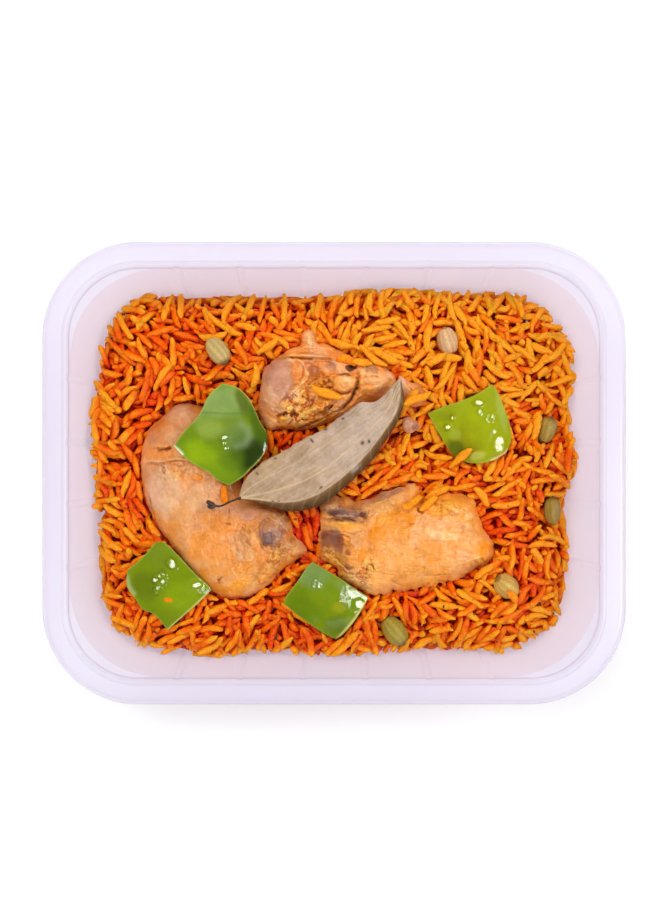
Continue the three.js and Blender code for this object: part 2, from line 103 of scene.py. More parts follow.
def noise(p, size, seed=0):
    """Smooth noise from about -1 to 1 at points, with features of a size in millimetres."""
    q = np.asarray(p, float) / size + 31.7 * seed
    cell = np.floor(q).astype(np.int64)
    f = q - cell
    w = f * f * f * (f * (f * 6 - 15) + 10)
    total = np.zeros(len(q))
    for corner in np.ndindex(2, 2, 2):
        c = cell + corner
        h = (c[:, 0] * 73856093) ^ (c[:, 1] * 19349663) ^ (c[:, 2] * 83492791)
        slope = TABLE[(h ^ (h >> 9)) & 255]
        total += np.where(corner, w, 1 - w).prod(1) * (slope * (f - corner)).sum(1)
    return total * 1.6


def fbm(p, size, octaves=3, seed=0):
    """Noise with finer and fainter noise on it."""
    return sum(noise(p, size / 2**k, seed + k) / 2**k for k in range(octaves))


def smooth(t):
    """A soft step from 0 to 1."""
    t = np.clip(t, 0, 1)
    return t * t * (3 - 2 * t)


def xyz(x, y, z=0.0):
    """Rows of points from coordinates."""
    return np.stack(np.broadcast_arrays(x, y, z), -1).reshape(-1, 3).astype(float)


def turned(x, y, degrees):
    """Coordinates along and across a direction."""
    c, s = math.cos(math.radians(degrees)), math.sin(math.radians(degrees))
    return x * c + y * s, y * c - x * s


def unit(rows):
    """Directions of length 1."""
    return rows / np.linalg.norm(rows, axis=-1)[..., None]


def spline(a, b, c, d):
    """Points of a smooth curve from b to c, whose neighbours are a and d."""
    t = CURVE_STEPS
    return 0.5 * (2 * b + (c - a) * t + (2 * a - 5 * b + 4 * c - d) * t**2 + (3 * b - a - 3 * c + d) * t**3)


def closed_curve(points, count):
    """Evenly spaced points of a smooth closed curve through the given ones, counter-clockwise."""
    p = np.array(points, float)
    if (p[:, 0] * np.roll(p[:, 1], -1) - np.roll(p[:, 0], -1) * p[:, 1]).sum() < 0:
        p = p[::-1]
    fine = [spline(*np.take(p, range(i - 1, i + 3), 0, mode="wrap")) for i in range(len(p))]
    return resample(np.vstack(fine + [fine[0][:1]]), count + 1)[:-1]


def open_curve(points, count):
    """Evenly spaced points of a smooth curve through the given ones, from the first to the last."""
    p = np.array(points, float)
    p = np.vstack([2 * p[0] - p[1], p, 2 * p[-1] - p[-2]])
    fine = [spline(*p[i - 1:i + 3]) for i in range(1, len(p) - 2)]
    return resample(np.vstack(fine + [p[-2:-1]]), count)


def resample(path, count):
    """Points at even steps along a path."""
    step = np.r_[0, np.cumsum(np.linalg.norm(np.diff(path, axis=0), axis=1))]
    at = np.linspace(0, step[-1], count)
    return np.stack([np.interp(at, step, path[:, k]) for k in range(path.shape[1])], 1)


def near_line(x, y, points):
    """Distance to a polyline, how far along it that is from 0 to 1, and the side: 1 left, -1 right."""
    p = np.array(points, float)
    best, along, side = np.full(np.shape(x), 1e9), np.zeros(np.shape(x)), np.ones(np.shape(x))
    lengths = np.r_[0, np.cumsum(np.linalg.norm(np.diff(p, axis=0), axis=1))]
    for i, (a, b) in enumerate(zip(p, p[1:])):
        d = b - a
        t = np.clip(((x - a[0]) * d[0] + (y - a[1]) * d[1]) / (d @ d), 0, 1)
        r = np.hypot(x - a[0] - t * d[0], y - a[1] - t * d[1])
        closer = r < best
        best = np.where(closer, r, best)
        along = np.where(closer, (lengths[i] + t * (lengths[i + 1] - lengths[i])) / lengths[-1], along)
        side = np.where(closer, np.sign(d[0] * (y - a[1]) - d[1] * (x - a[0])), side)
    return best, along, side


def taper(along, ends):
    """1 along a line, fading to 0 at both ends."""
    return smooth(along / ends) * smooth((1 - along) / ends)


def ridge(r, width):
    """1 on a line, falling off to both sides."""
    return np.exp(-((r / width) ** 2))


def spot(x, y, cx, cy, rx, ry, turn, edge, wobble, seed):
    """A patch with an uneven outline, 1 inside and 0 outside."""
    u, v = turned(x - cx, y - cy, turn)
    r = np.hypot(u / rx, v / ry) + wobble * fbm(xyz(x, y), 0.7 * (rx + ry), 4, seed).reshape(np.shape(x))
    return smooth((1 + edge / 2 - r) / edge)


def blend_colour(base, mask, colour):
    """Rows of colours, moved towards another one by a share each."""
    return base + np.asarray(mask)[:, None] * (np.array(colour) - base)


def streaks(x, y, angle, length, width, seed):
    """Noise drawn out along a direction."""
    u, v = turned(x, y, angle)
    v = v + 0.8 * noise(xyz(x, y), 6, seed + 5).reshape(np.shape(x))
    p = xyz(u / length, v / width)
    return (noise(p, 1.0, seed) + 0.5 * noise(p, 0.5, seed + 1)).reshape(np.shape(x))


def srgb(r, g, b):
    """Linear values of an 8-bit colour."""
    return tuple((c / 255 / 12.92) if c <= 10 else ((c / 255 + 0.055) / 1.055) ** 2.4 for c in (r, g, b))


# ---------------------------------------------------------------- meshes


def make(name, verts, faces, material, nodes=(), paint=None, values=None):
    """A piece from vertices in millimetres and a list of arrays of faces."""
    mesh = bpy.data.meshes.new(name)
    verts = np.asarray(verts, np.float64) * MM
    faces = [np.asarray(f, np.int32) for f in faces]
    sizes = np.concatenate([np.full(len(f), f.shape[1], np.int32) for f in faces])
    loops = np.concatenate([f.ravel() for f in faces])
    mesh.vertices.add(len(verts))
    mesh.vertices.foreach_set("co", verts.astype(np.float32).ravel())
    mesh.loops.add(len(loops))
    mesh.loops.foreach_set("vertex_index", loops)
    mesh.polygons.add(len(sizes))
    mesh.polygons.foreach_set("loop_start", np.r_[0, np.cumsum(sizes)[:-1]].astype(np.int32))
    mesh.polygons.foreach_set("use_smooth", np.full(len(sizes), True))
    mesh.update(calc_edges=True)
    if paint is not None:
        colour = np.ones((len(verts), 4), np.float32)
        colour[:, :3] = np.clip(paint, 0, 1)
        mesh.attributes.new("paint", "FLOAT_COLOR", "POINT").data.foreach_set("color", colour.ravel())
    for key, value in (values or {}).items():
        mesh.attributes.new(key, "FLOAT", "POINT").data.foreach_set("value", np.asarray(value, np.float32))
    mesh.validate()
    obj = bpy.data.objects.new(name, mesh)
    bpy.context.collection.objects.link(obj)
    mesh.materials.append(material)
    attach(obj, "root")
    if nodes:
        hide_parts(*nodes)
    return obj


def ring_faces(rings, count):
    """Quads between closed rings of count points, and fans to the two points that follow them."""
    i = np.arange(count)
    j = (i + 1) % count
    quads = []
    for k in range(rings - 1):
        a = k * count
        quads.append(np.stack([a + i, a + j, a + j + count, a + i + count], 1))
    low, high, last = rings * count, rings * count + 1, (rings - 1) * count
    fans = [np.stack([np.full(count, low), j, i], 1), np.stack([np.full(count, high), last + i, last + j], 1)]
    return [np.vstack(quads), np.vstack(fans)]


def grid_quads(nu, nv):
    """Quads of a grid of (nv + 1) rows of (nu + 1) points."""
    row = nu + 1
    j, i = np.meshgrid(np.arange(nv), np.arange(nu), indexing="ij")
    a = (j * row + i).ravel()
    return np.stack([a, a + 1, a + 1 + row, a + row], 1)


def grid_edge(nu, nv):
    """The points round a grid's edge, counter-clockwise."""
    row = nu + 1
    along, up = np.arange(nu), np.arange(nv)
    return np.concatenate([along, nu + row * up, nv * row + nu - along, nv * row - row * up])


def band(upper, lower):
    """Quads between two closed rows of points, the first of them higher up."""
    return np.stack([upper, lower, np.roll(lower, -1), np.roll(upper, -1)], 1)


# ---------------------------------------------------------------- materials


class Nodes:
    """A material's node tree, with short ways to add to it."""

    def __init__(self, name):
        self.material = bpy.data.materials.new(name)
        self.material.use_nodes = True
        self.tree = self.material.node_tree
        self.tree.nodes.clear()
        self.out = self.tree.nodes.new("ShaderNodeOutputMaterial")

    def feed(self, socket, value):
        """Gives an input a value, or links it to an output."""
        if isinstance(value, bpy.types.NodeSocket):
            self.tree.links.new(value, socket)
        else:
            socket.default_value = value

    def add(self, kind, props=None, **inputs):
        """A node with properties, and inputs by name with _ for a space."""
        node = self.tree.nodes.new("ShaderNode" + kind)
        for key, value in (props or {}).items():
            setattr(node, key, value)
        for key, value in inputs.items():
            self.feed(node.inputs[key.replace("_", " ")], value)
        return node

    def math(self, op, a, b=0.0, clamp=False):
        """The result of a sum on two values."""
        node = self.add("Math", {"operation": op, "use_clamp": clamp})
        self.feed(node.inputs[0], a)
        self.feed(node.inputs[1], b)
        return node.outputs[0]

    def scaled(self, value, factor, start=0.0):
        """A value times a factor, plus a start."""
        return self.math("ADD", self.math("MULTIPLY", value, factor), start)

    def weighed(self, a, share, b, rest):
        """Two values added up, each with its share."""
        return self.math("ADD", self.math("MULTIPLY", a, share), self.math("MULTIPLY", b, rest))

    def swayed(self, value, by, reach, clamp=False):
        """A value that goes up and down with noise, which is 0.5 on average."""
        return self.math("ADD", value, self.math("MULTIPLY", self.math("SUBTRACT", by, 0.5), reach), clamp)

    def ramp(self, factor, stops):
        """Colours by a factor, between stops."""
        node = self.add("ValToRGB", Fac=factor)
        ramp = node.color_ramp.elements
        while len(ramp) < len(stops):
            ramp.new(0.5)
        for element, (at, colour) in zip(ramp, stops):
            element.position = at
            element.color = (*colour, 1.0)
        return node.outputs[0]

    def painted(self, light, stops, share=0.8):
        """The mesh's own paint, tinted by a ramp."""
        node = self.add("Mix", {"data_type": "RGBA", "blend_type": "MULTIPLY"})
        paint = self.attribute("paint").outputs["Color"]
        for key, value in ((0, share), (6, paint), (7, self.ramp(light, stops))):
            self.feed(node.inputs[key], value)
        return node.outputs[2]

    def coords(self, scale=(1, 1, 1), rotation=(0, 0, 0)):
        """Object coordinates in millimetres, scaled and turned."""
        where = self.add("TexCoord").outputs["Object"]
        return self.add("Mapping", Vector=where, Scale=[s / MM for s in scale], Rotation=rotation).outputs[0]

    def noise(self, scale, detail=3.0, rough=0.5, vector=None):
        """Noise with that many features a millimetre."""
        where = vector or self.coords()
        return self.add("TexNoise", Vector=where, Scale=scale, Detail=detail, Roughness=rough).outputs[0]

    def attribute(self, name):
        """A value or colour that the mesh carries."""
        return self.add("Attribute", {"attribute_name": name})

    def bump(self, height, distance, strength, under=None):
        """Relief of a distance in metres, on top of other relief."""
        node = self.add("Bump", Height=height, Distance=distance, Strength=strength)
        if under is not None:
            self.feed(node.inputs["Normal"], under)
        return node.outputs[0]

    def surface(self, colour, rough, specular, soft=(), **more):
        """Finishes the material; soft is the weight, radius and scale of the light that spreads inside it."""
        more.update(Base_Color=colour, Roughness=rough, Specular_IOR_Level=specular)
        node = self.add("BsdfPrincipled", **more)
        for key, value in zip(("Weight", "Radius", "Scale"), soft):
            self.feed(node.inputs["Subsurface " + key], value)
        return self.finish(node.outputs[0])

    def finish(self, shader):
        """Makes a shader the surface, and gives the material."""
        self.tree.links.new(shader, self.out.inputs["Surface"])
        return self.material


RICE_STOPS = [
    (0.0, srgb(166, 12, 0)),
    (0.2, srgb(200, 32, 0)),
    (0.42, srgb(226, 66, 0)),
    (0.62, srgb(239, 97, 2)),
    (0.8, srgb(247, 124, 8)),
    (1.0, srgb(253, 164, 30)),
]
# tints by height as a share of the tray's: pink walls, a darker line under the lip that is painted shade
# where the plastic is seen edge-on, and a lavender flange
PLASTIC_TINTS = [
    (0.0, srgb(250, 245, 255)),
    (0.9, srgb(249, 244, 255)),
    (0.945, srgb(246, 241, 253)),
    (0.968, srgb(216, 203, 220)),
    (0.985, srgb(240, 238, 251)),
    (1.0, srgb(241, 240, 253)),
]


def rice_material():
    """Glossy grains, whose tone runs from deep red to yellow; deep grains carry painted shade in their tone.
    """
    n = Nodes("rice_grain")
    grit = n.noise(2.4)
    shade = n.swayed(n.attribute("tone").outputs["Fac"], n.noise(0.55), 0.4)
    shade = n.swayed(shade, n.noise(0.16, 2.0), 0.25, clamp=True)
    shade = n.swayed(shade, grit, 0.3, clamp=True)
    folds = n.bump(n.noise(0.7, 2.0), 0.0012, 0.7)
    relief = n.bump(grit, 0.0004, 0.7, folds)
    glow = (0.45, (1.0, 0.2, 0.03), 0.0024)
    return n.surface(n.ramp(shade, RICE_STOPS), n.scaled(grit, 0.3, 0.22), 0.11, glow, Normal=relief)


def core_material():
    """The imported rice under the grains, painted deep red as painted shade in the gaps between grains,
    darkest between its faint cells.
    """
    n = Nodes("rice_core")
    cells = []
    for stretch, turn, size in (((1, 0.4, 1), 0.7, 0.45), ((0.4, 1, 1), 0.2, 0.42)):
        cell = n.add("TexVoronoi", Vector=n.coords(stretch, (0, 0, turn)), Scale=size)
        cells.append(cell.outputs["Distance"])
    grain = n.math("MINIMUM", *cells)
    colour = n.ramp(grain, [(0.0, srgb(230, 82, 4)), (0.45, srgb(204, 50, 2)), (0.8, srgb(160, 24, 0))])
    return n.surface(colour, 0.5, 0.08, Normal=n.bump(n.math("SUBTRACT", 1.0, grain), 0.0012, 0.8))


def plastic_material():
    """Milky plastic: part of the light goes straight through, part is spread, and the surface is glossy."""
    n = Nodes("tray_plastic")
    z = n.add("SeparateXYZ", Vector=n.coords((1 / HEIGHT, 1 / HEIGHT, 1 / HEIGHT))).outputs["Z"]
    tint = n.ramp(n.swayed(z, n.noise(0.03), 0.01), PLASTIC_TINTS)
    grain = n.bump(n.noise(0.9, 2.0), 0.0001, 0.25)
    gloss = n.add("BsdfPrincipled", Base_Color=tint, Roughness=0.25, Normal=grain, Specular_IOR_Level=0.5)
    spread = n.add("BsdfTranslucent", Color=tint)
    clear = n.add("BsdfTransparent", Color=(0.98, 0.97, 0.985, 1))
    shader = gloss.outputs[0]
    for other, share in ((spread, 0.5), (clear, 0.42)):
        mixed = n.add("MixShader", Fac=share)
        n.feed(mixed.inputs[1], shader)
        n.feed(mixed.inputs[2], other.outputs[0])
        shader = mixed.outputs[0]
    return n.finish(shader)


def meat_material(name):
    """Cooked meat: painted patches, fine mottling and pores, moist gloss."""
    n = Nodes(name)
    mottle, pores = n.noise(0.24), n.noise(1.0, 3.0, 0.55)
    tints = [(0.34, (0.74, 0.64, 0.54)), (0.5, (0.9, 0.87, 0.8)), (0.66, (1.0, 0.99, 0.94))]
    colour = n.painted(n.weighed(pores, 0.3, mottle, 0.7), tints, 0.75)
    relief = n.bump(pores, 0.0003, 0.5, n.bump(mottle, 0.001, 0.45))
    glow = (0.1, (1.0, 0.45, 0.25), 0.0015)
    return n.surface(colour, n.scaled(pores, 0.35, 0.2), 0.22, glow, Normal=relief)


def pepper_material():
    """Green skin with a thin coat of water, and duller flesh where it is cut."""
    n = Nodes("pepper_skin")
    speckle, broad = n.noise(1.1, 4.0, 0.6), n.noise(0.13)
    tints = [(0.3, (0.78, 0.84, 0.8)), (0.5, (1, 1, 1)), (0.72, (1.16, 1.1, 1.05))]
    colour = n.painted(n.weighed(speckle, 0.35, broad, 0.65), tints)
    rough = n.scaled(n.math("SUBTRACT", 1.0, n.attribute("skin").outputs["Fac"]), 0.35, 0.13)
    relief = n.bump(speckle, 0.0001, 0.3, n.bump(n.noise(0.16, 2.0), 0.0012, 0.5))
    glow = (0.12, (0.4, 1.0, 0.2), 0.002)
    return n.surface(colour, rough, 0.12, glow, Normal=relief, Coat_Weight=0.15, Coat_Roughness=0.06)


def leaf_material():
    """A dry, dull leaf with fine grain."""
    n = Nodes("bay_leaf")
    grain, blotch = n.noise(1.2, 5.0, 0.65), n.noise(0.12)
    tints = [(0.3, (0.74, 0.74, 0.72)), (0.5, (1, 1, 1)), (0.7, (1.2, 1.18, 1.12))]
    colour = n.painted(n.weighed(grain, 0.5, blotch, 0.5), tints)
    return n.surface(colour, 0.55, 0.2, Normal=n.bump(grain, 0.0002, 0.5))


def stalk_material():
    """Dark, dry wood."""
    n = Nodes("leaf_stalk")
    grain = n.noise(0.8, 4.0, vector=n.coords((1, 3, 1)))
    colour = n.ramp(grain, [(0.3, srgb(30, 16, 14)), (0.7, srgb(82, 52, 36))])
    return n.surface(colour, 0.6, 0.5, Normal=n.bump(grain, 0.0003, 0.6))


def pod_material():
    """A dull, fibrous husk."""
    n = Nodes("cardamom_husk")
    grain = n.noise(1.5, 5.0, 0.6)
    colour = n.painted(grain, [(0.3, (0.7, 0.7, 0.66)), (0.5, (1, 1, 1)), (0.7, (1.22, 1.2, 1.1))])
    return n.surface(colour, 0.5, 0.22, Normal=n.bump(grain, 0.0002, 0.6))


def fleck_material():
    """Dark dried herbs."""
    n = Nodes("herb_flecks")
    colour = n.ramp(n.noise(0.4), [(0.35, srgb(34, 22, 8)), (0.65, srgb(84, 52, 18))])
    return n.surface(colour, 0.6, 0.5)


def floor_material():
    """The pale surface under the tray."""
    n = Nodes("pale_floor")
    colour = n.ramp(n.noise(0.02), [(0.3, (0.93, 0.93, 0.93)), (0.7, (0.95, 0.95, 0.95))])
    return n.surface(colour, 0.7, 0.1, Emission_Color=(1, 1, 1, 1), Emission_Strength=0.05)


# ---------------------------------------------------------------- tray

FLUTE_SHARE = 0.6  # the flutes read softer in the photo than they are deep in the solid
FLUTE_NEAR = np.array([0.13, 0.26, 0.38, 0.5, 0.6, 0.8, 1.2])
FLUTE_STEPS = RIB_WIDTH * np.r_[-FLUTE_NEAR[::-1], 0, FLUTE_NEAR]
RIB_FOOTS = (7.5, 8.0)  # heights at which the flutes begin, outside and inside
RIB_FADE = 3.5
CORNER_STEPS = 25
ROLL = 2.4  # radius of the flange's rolled outer edge
BEAD_OUT, BEAD_HALF, BEAD_RISE = 1.1, 0.9, 0.4  # distance, half width and height of the lip round the opening
THROAT = FLANGE + DRAFT * LEDGE

# the section over the walls, as how far in from the edge and how far under the top, and how much flute it
# takes: under the flange and the skirt, over the flange, and down the ledge
UNDER_FLANGE = [
    (THROAT - 1.2, LEDGE + 0.4, 1), (FLANGE - 1.4, 1.6, 1), (FLANGE - 1.9, 1.05, 0.6), (FLANGE - 2.6, 1.0, 0),
    (3.4, 1.0, 0), (2.0, 1.35, 0), (1.2, 2.4, 0), (1.0, SKIRT, 0), (0.0, SKIRT - 0.25, 0),
]
OVER_FLANGE = [(3.2, 0, 0), (6.0, 0, 0), (FLANGE - 2.5, 0, 0)]
DOWN_LEDGE = [
    (FLANGE, 0.4, 0.5), (FLANGE + 0.15, 1.0, 0.5), (THROAT - 0.15, LEDGE - 0.9, 0.5),
    (THROAT, LEDGE - 0.45, 0.5), (THROAT + 0.12, LEDGE - 0.15, 0.5),
]


def stations(count):
    """Where the middles of a side's flutes lie along it."""
    return (np.arange(count) - (count - 1) / 2) * RIB_PITCH


def tray_ring(inset, radius, z, flute=0.0):
    """One ring round the tray, pushed outwards at the flutes by a share of their depth."""
    halves = (LENGTH / 2 - inset, WIDTH / 2 - inset)
    arc = np.linspace(0, math.pi / 2, CORNER_STEPS + 1)[1:-1]
    points = []
    for side in range(4):
        reach, across = halves[::-1] if side % 2 else halves
        run = across - radius
        middles = stations(LONG_RIBS if side % 2 else SHORT_RIBS)
        t = np.r_[-run, (middles[:, None] + FLUTE_STEPS).ravel(), run]
        near = np.abs(t[:, None] - middles).min(1) / (RIB_WIDTH / 2)
        groove = np.maximum(np.cos(np.minimum(near, 1) * math.pi / 2), 0) ** 0.8
        lx = np.r_[reach + FLUTE_SHARE * flute * RIB_DEPTH * groove, reach - radius + radius * np.cos(arc)]
        ly = np.r_[t, run + radius * np.sin(arc)]
        x, y = turned(lx, ly, -90 * side)
        points.append(np.stack([x, y, np.full(len(lx), z)], 1))
    return np.vstack(points)


def make_tray():
    """The tray's skin, ring by ring up the outside, over the flange and down the inside."""
    rings = []
    quarter = np.linspace(0, math.pi / 2, 9)
    ledge = HEIGHT - LEDGE

    def rim(inset, down, flute=0.0):
        rings.append(tray_ring(inset, max(RIM_R - inset, 6), HEIGHT - down, flute))

    def wall(z, thick, flute=0.0):
        inset, radius = cavity_inset(z + thick) - thick, cavity_radius(z + thick) + thick
        rings.append(tray_ring(inset, radius, z, flute))

    for angle in quarter:
        wall(FLOOR_R * (1 - math.cos(angle)), WALL)
    for z in (7.5, 8.5, 9.5, 10.5, 12, 20, 30, 40, ledge - 2):
        wall(z, WALL, smooth((z - RIB_FOOTS[0]) / RIB_FADE))
    for place in UNDER_FLANGE:
        rim(*place)
    for angle in np.linspace(0, math.pi / 2, 8):
        rim(ROLL * (1 - math.cos(angle)), ROLL * (1 - math.sin(angle)))
    for place in OVER_FLANGE:
        rim(*place)
    for t in np.linspace(0, 1, 9):
        angle = math.pi * (1 - t)
        rim(FLANGE - BEAD_OUT + BEAD_HALF * math.cos(angle), -BEAD_RISE * math.sin(angle), 0.5 * t)
    for place in DOWN_LEDGE:
        rim(*place)
    wall(ledge, 0, 0.6)
    wall(ledge - 0.4, 0, 0.7)
    for z in (44, 38, 30, 22, 16, 12.5, 11, 10, 9, 8.0):
        wall(z, 0, smooth((z - RIB_FOOTS[1]) / RIB_FADE))
    for angle in quarter[::-1]:
        wall(WALL + FLOOR_R * (1 - math.cos(angle)), 0)
    verts = np.vstack(rings + [[(0, 0, 0), (0, 0, WALL)]])
    faces = ring_faces(len(rings), len(rings[0]))
    return make("tray_shell", verts, faces, plastic_material(), ["tray"])


# ---------------------------------------------------------------- chicken

SIDE_RINGS = 16


class Cut:
    """A cut of chicken: a cushion in an outline, with relief and paint from dabs, lines and torn places."""

    def __init__(self, name, node, outline, heights, round_over, base, grain, dabs, lines=(), torn=(),
                 count=360, levels=100, ragged=0.5, gain=(1, 1, 1)):
        self.name, self.node, self.base, self.grain = name, node, base, grain
        self.dabs, self.lines, self.torn = dabs, lines, torn
        self.bottom, self.middle, self.top = heights
        self.round_over, self.levels, self.gain = round_over, levels, np.array(gain)
        self.outline = closed_curve(outline, count)
        p = xyz(self.outline[:, 0], self.outline[:, 1])
        ahead = np.roll(self.outline, -1, 0) - np.roll(self.outline, 1, 0)
        out = unit(np.stack([ahead[:, 1], -ahead[:, 0]], 1))
        self.outline = self.outline + out * (ragged * fbm(p, 4.5, 3, 3))[:, None]

    def depth(self, x, y):
        """Smoothed distance in from the outline; negative outside."""
        total, least = np.zeros(len(x)), np.full(len(x), 1e9)
        crossings = np.zeros(len(x), int)
        for (ax, ay), (bx, by) in zip(self.outline, np.roll(self.outline, -1, 0)):
            r2 = (x - (ax + bx) / 2) ** 2 + (y - (ay + by) / 2) ** 2 + 0.05
            total += math.hypot(bx - ax, by - ay) / r2**2
            least = np.minimum(least, r2)
            hit = (ay > y) != (by > y)
            crossings += hit & (x < (bx - ax) * (y - ay) / (by - ay + 1e-12) + ax)
        soft = (total * 2 / math.pi) ** (-1 / 3)
        near = np.sqrt(least)
        d = np.where(near < 1.5, np.minimum(near, soft), soft)
        return np.where(crossings % 2 == 1, d, -near)

    def marks(self, x, y):
        """Relief in millimetres and paint at places seen from above."""
        q = xyz(x, y)
        fibres = streaks(x, y, self.grain, 7, 0.9, 84)
        coarse, mid, fine = noise(q, 4.5, 74), noise(q, 2.2, 72), noise(q, 1.1, 75)
        lift = 0.6 * fbm(q, 9, 2, 71) + 0.14 * fibres + 0.3 * mid + 0.1 * fine
        paint = np.tile(self.base, (len(x), 1))
        paint = blend_colour(paint, 0.5 * smooth(fbm(q, 8, 3, 73) * 1.5), TONES["apricot"])
        paint = blend_colour(paint, 0.35 * smooth(0.2 - fibres), TONES["copper"])
        drift = 0.4 * np.stack([noise(q, 1.8, 76), noise(q, 1.8, 77)])
        self.add_dabs(x, y, drift, coarse, 0.14 * mid + 0.13 * fine + 0.1 * fibres, lift, paint)
        self.add_lines(x, y, 0.8 * drift, 0.85 + 0.4 * mid + 0.3 * fine, lift, paint)
        crumbs = np.abs(noise(q, 2.7, 78)) + 0.6 * np.abs(noise(q, 1.35, 79)) - 0.36
        for cx, cy, rx, ry, turn, share in self.torn:
            torn = share * spot(x, y, cx, cy, rx, ry, turn, 0.7, 0.4, 80)
            lift += 1.8 * torn * crumbs
            # pale butter on the crumbs' tops, and brick in the pits between them as painted shade
            paint = blend_colour(paint, 0.75 * torn * smooth(crumbs * 4), TONES["butter"])
            paint = blend_colour(paint, 0.7 * torn * smooth(-crumbs * 5), TONES["brick"])
        for share, seed, tone in ((0.34, 85, "amber"), (0.3, 86, "blush")):
            paint = blend_colour(paint, share * smooth(3 * fbm(q, 13, 3, seed)), TONES[tone])
        vary = 0.5 * coarse + 0.5 * mid + 0.3 * fine + 0.6 * fibres
        return lift, self.gain * paint * (1 + np.outer(vary, (0.05, 0.11, 0.17)))

    def add_dabs(self, x, y, drift, coarse, ragged, lift, paint):
        """Adds each dab's relief and paint, at places that noise has moved a little."""
        for cx, cy, rx, ry, turn, rise, tone, share in self.dabs:
            reach = 1.8 * max(rx, ry) + 0.5
            k = np.flatnonzero((np.abs(x - cx) < reach) & (np.abs(y - cy) < reach))
            dx, dy = turned(x[k] - cx + drift[0, k], y[k] - cy + drift[1, k], turn)
            rough = min(0.25, 0.1 * rx) * coarse[k] + ragged[k]
            r = np.hypot(dx / rx, dy / ry) + rough * (0.4 if rise > 2 else 1)
            inside = smooth((1.22 - r) / 0.5)
            dome = np.sqrt(np.clip(1.1 - r * r, 0, 1))
            lift[k] += rise * (dome if 0 < rise and max(rx, ry) < 6 else inside)
            paint[k] = blend_colour(paint[k], share * inside, TONES[tone])

    def add_lines(self, x, y, drift, vary, lift, paint):
        """Adds each line's bed or ridge, which drops sharply on the low side of a fold's lip."""
        for points, width, rise, tone, share, lip in self.lines:
            p = np.array(points, float)
            low, high = p.min(0) - 3 * width - 1, p.max(0) + 3 * width + 1
            k = np.flatnonzero((x > low[0]) & (x < high[0]) & (y > low[1]) & (y < high[1]))
            path = open_curve(points, 8 * len(points)) if lip else points
            r, along, side = near_line(x[k] + drift[0, k], y[k] + drift[1, k], path)
            bed = np.where(r * side * lip < 0, ridge(r, 0.3), ridge(r, width))
            bed = bed * taper(along, 0.2) * np.clip(vary[k], 0, 1)
            lift[k] += rise * bed
            paint[k] = blend_colour(paint[k], share * bed, TONES[tone])

    def surface(self, d, relief):
        """The height of the top at a distance in from the outline."""
        t = np.clip(d / self.round_over, 0, 1)
        rise = np.sqrt(np.maximum(0, 1 - (1 - t) ** 2))
        slow = 1 - np.exp(-np.maximum(d, 0) / (1.2 * self.round_over))
        base = self.middle + (self.top - self.middle) * (0.72 * rise + 0.45 * slow)
        return base + smooth(t * 1.8) * relief

    def build(self, material):
        """Rings up the side, then rings in over the top to the middle, whose heights the relief gives."""
        centre = self.outline.mean(0)
        a = self.outline - centre
        rings = []
        for k in range(1, SIDE_RINGS + 1):
            angle = (1 - k / SIDE_RINGS) * math.pi / 2
            z = self.middle - (self.middle - self.bottom) * math.sin(angle) ** 0.8
            rings.append(np.c_[centre + a * math.cos(angle) ** 0.5, np.full(len(a), z)])
        for reach in 1 - np.linspace(0, 1, self.levels, endpoint=False)[1:] ** 1.25:
            rings.append(np.c_[centre + a * reach, np.zeros(len(a))])
        p = np.vstack(rings + [[(*centre, self.bottom), (*centre, 0.0)]])
        first = SIDE_RINGS * len(a)
        top = np.r_[np.arange(first, len(rings) * len(a)), len(p) - 1]
        relief, paint = self.marks(p[:, 0], p[:, 1])
        depth = np.zeros(len(p))
        depth[top] = np.maximum(self.depth(p[top, 0], p[top, 1]), 0)
        p[top, 2] = self.surface(depth[top], relief[top])
        p[:first, :2] += (p[:first, :2] - centre) * (fbm(p[:first], 6, 3, 9) * 0.02)[:, None]
        paint = paint * (1 + 0.09 * (noise(p, 1.3, 55) + 0.6 * noise(p, 0.7, 56)))[:, None]
        paint = blend_colour(paint, 0.4 * smooth(1 - depth / 1.2), TONES["copper"])
        faces = ring_faces(len(rings), len(a))
        return make(self.name, p, faces, material, [self.node], paint)


# colours of the meat; the near-black and dark brown tones are laid where the meat sinks, as painted shade in
# its slits, pits and creases
TONES = {
    "cream": srgb(253, 208, 158), "butter": srgb(248, 202, 120), "peach": srgb(250, 182, 116),
    "apricot": srgb(252, 168, 90), "honey": srgb(254, 174, 60), "orange": srgb(250, 156, 30),
    "amber": srgb(226, 146, 44), "ochre": srgb(206, 150, 76), "copper": srgb(224, 130, 58),
    "rust": srgb(194, 106, 48), "brick": srgb(158, 80, 34), "umber": srgb(122, 54, 26),
    "deep_shade": srgb(86, 32, 14), "clay": srgb(214, 142, 100), "tan": srgb(228, 164, 124),
    "blush": srgb(236, 198, 176), "rose": srgb(218, 160, 144), "dusk": srgb(186, 134, 114),
    "mauve": srgb(164, 120, 114), "plum": srgb(122, 90, 96), "wine": srgb(138, 74, 60),
    "night": srgb(98, 56, 56), "lilac": srgb(206, 166, 160),
}

# Dabs: place, half sizes and turn of a patch, how far it stands out, its tone and how much it covers.
# Lines: points, width, height, tone and share, and the side that stays high of a line that is a fold's lip
# (1 left of its run, -1 right, 0 both). Both are laid on in this order, so later ones cover earlier ones.

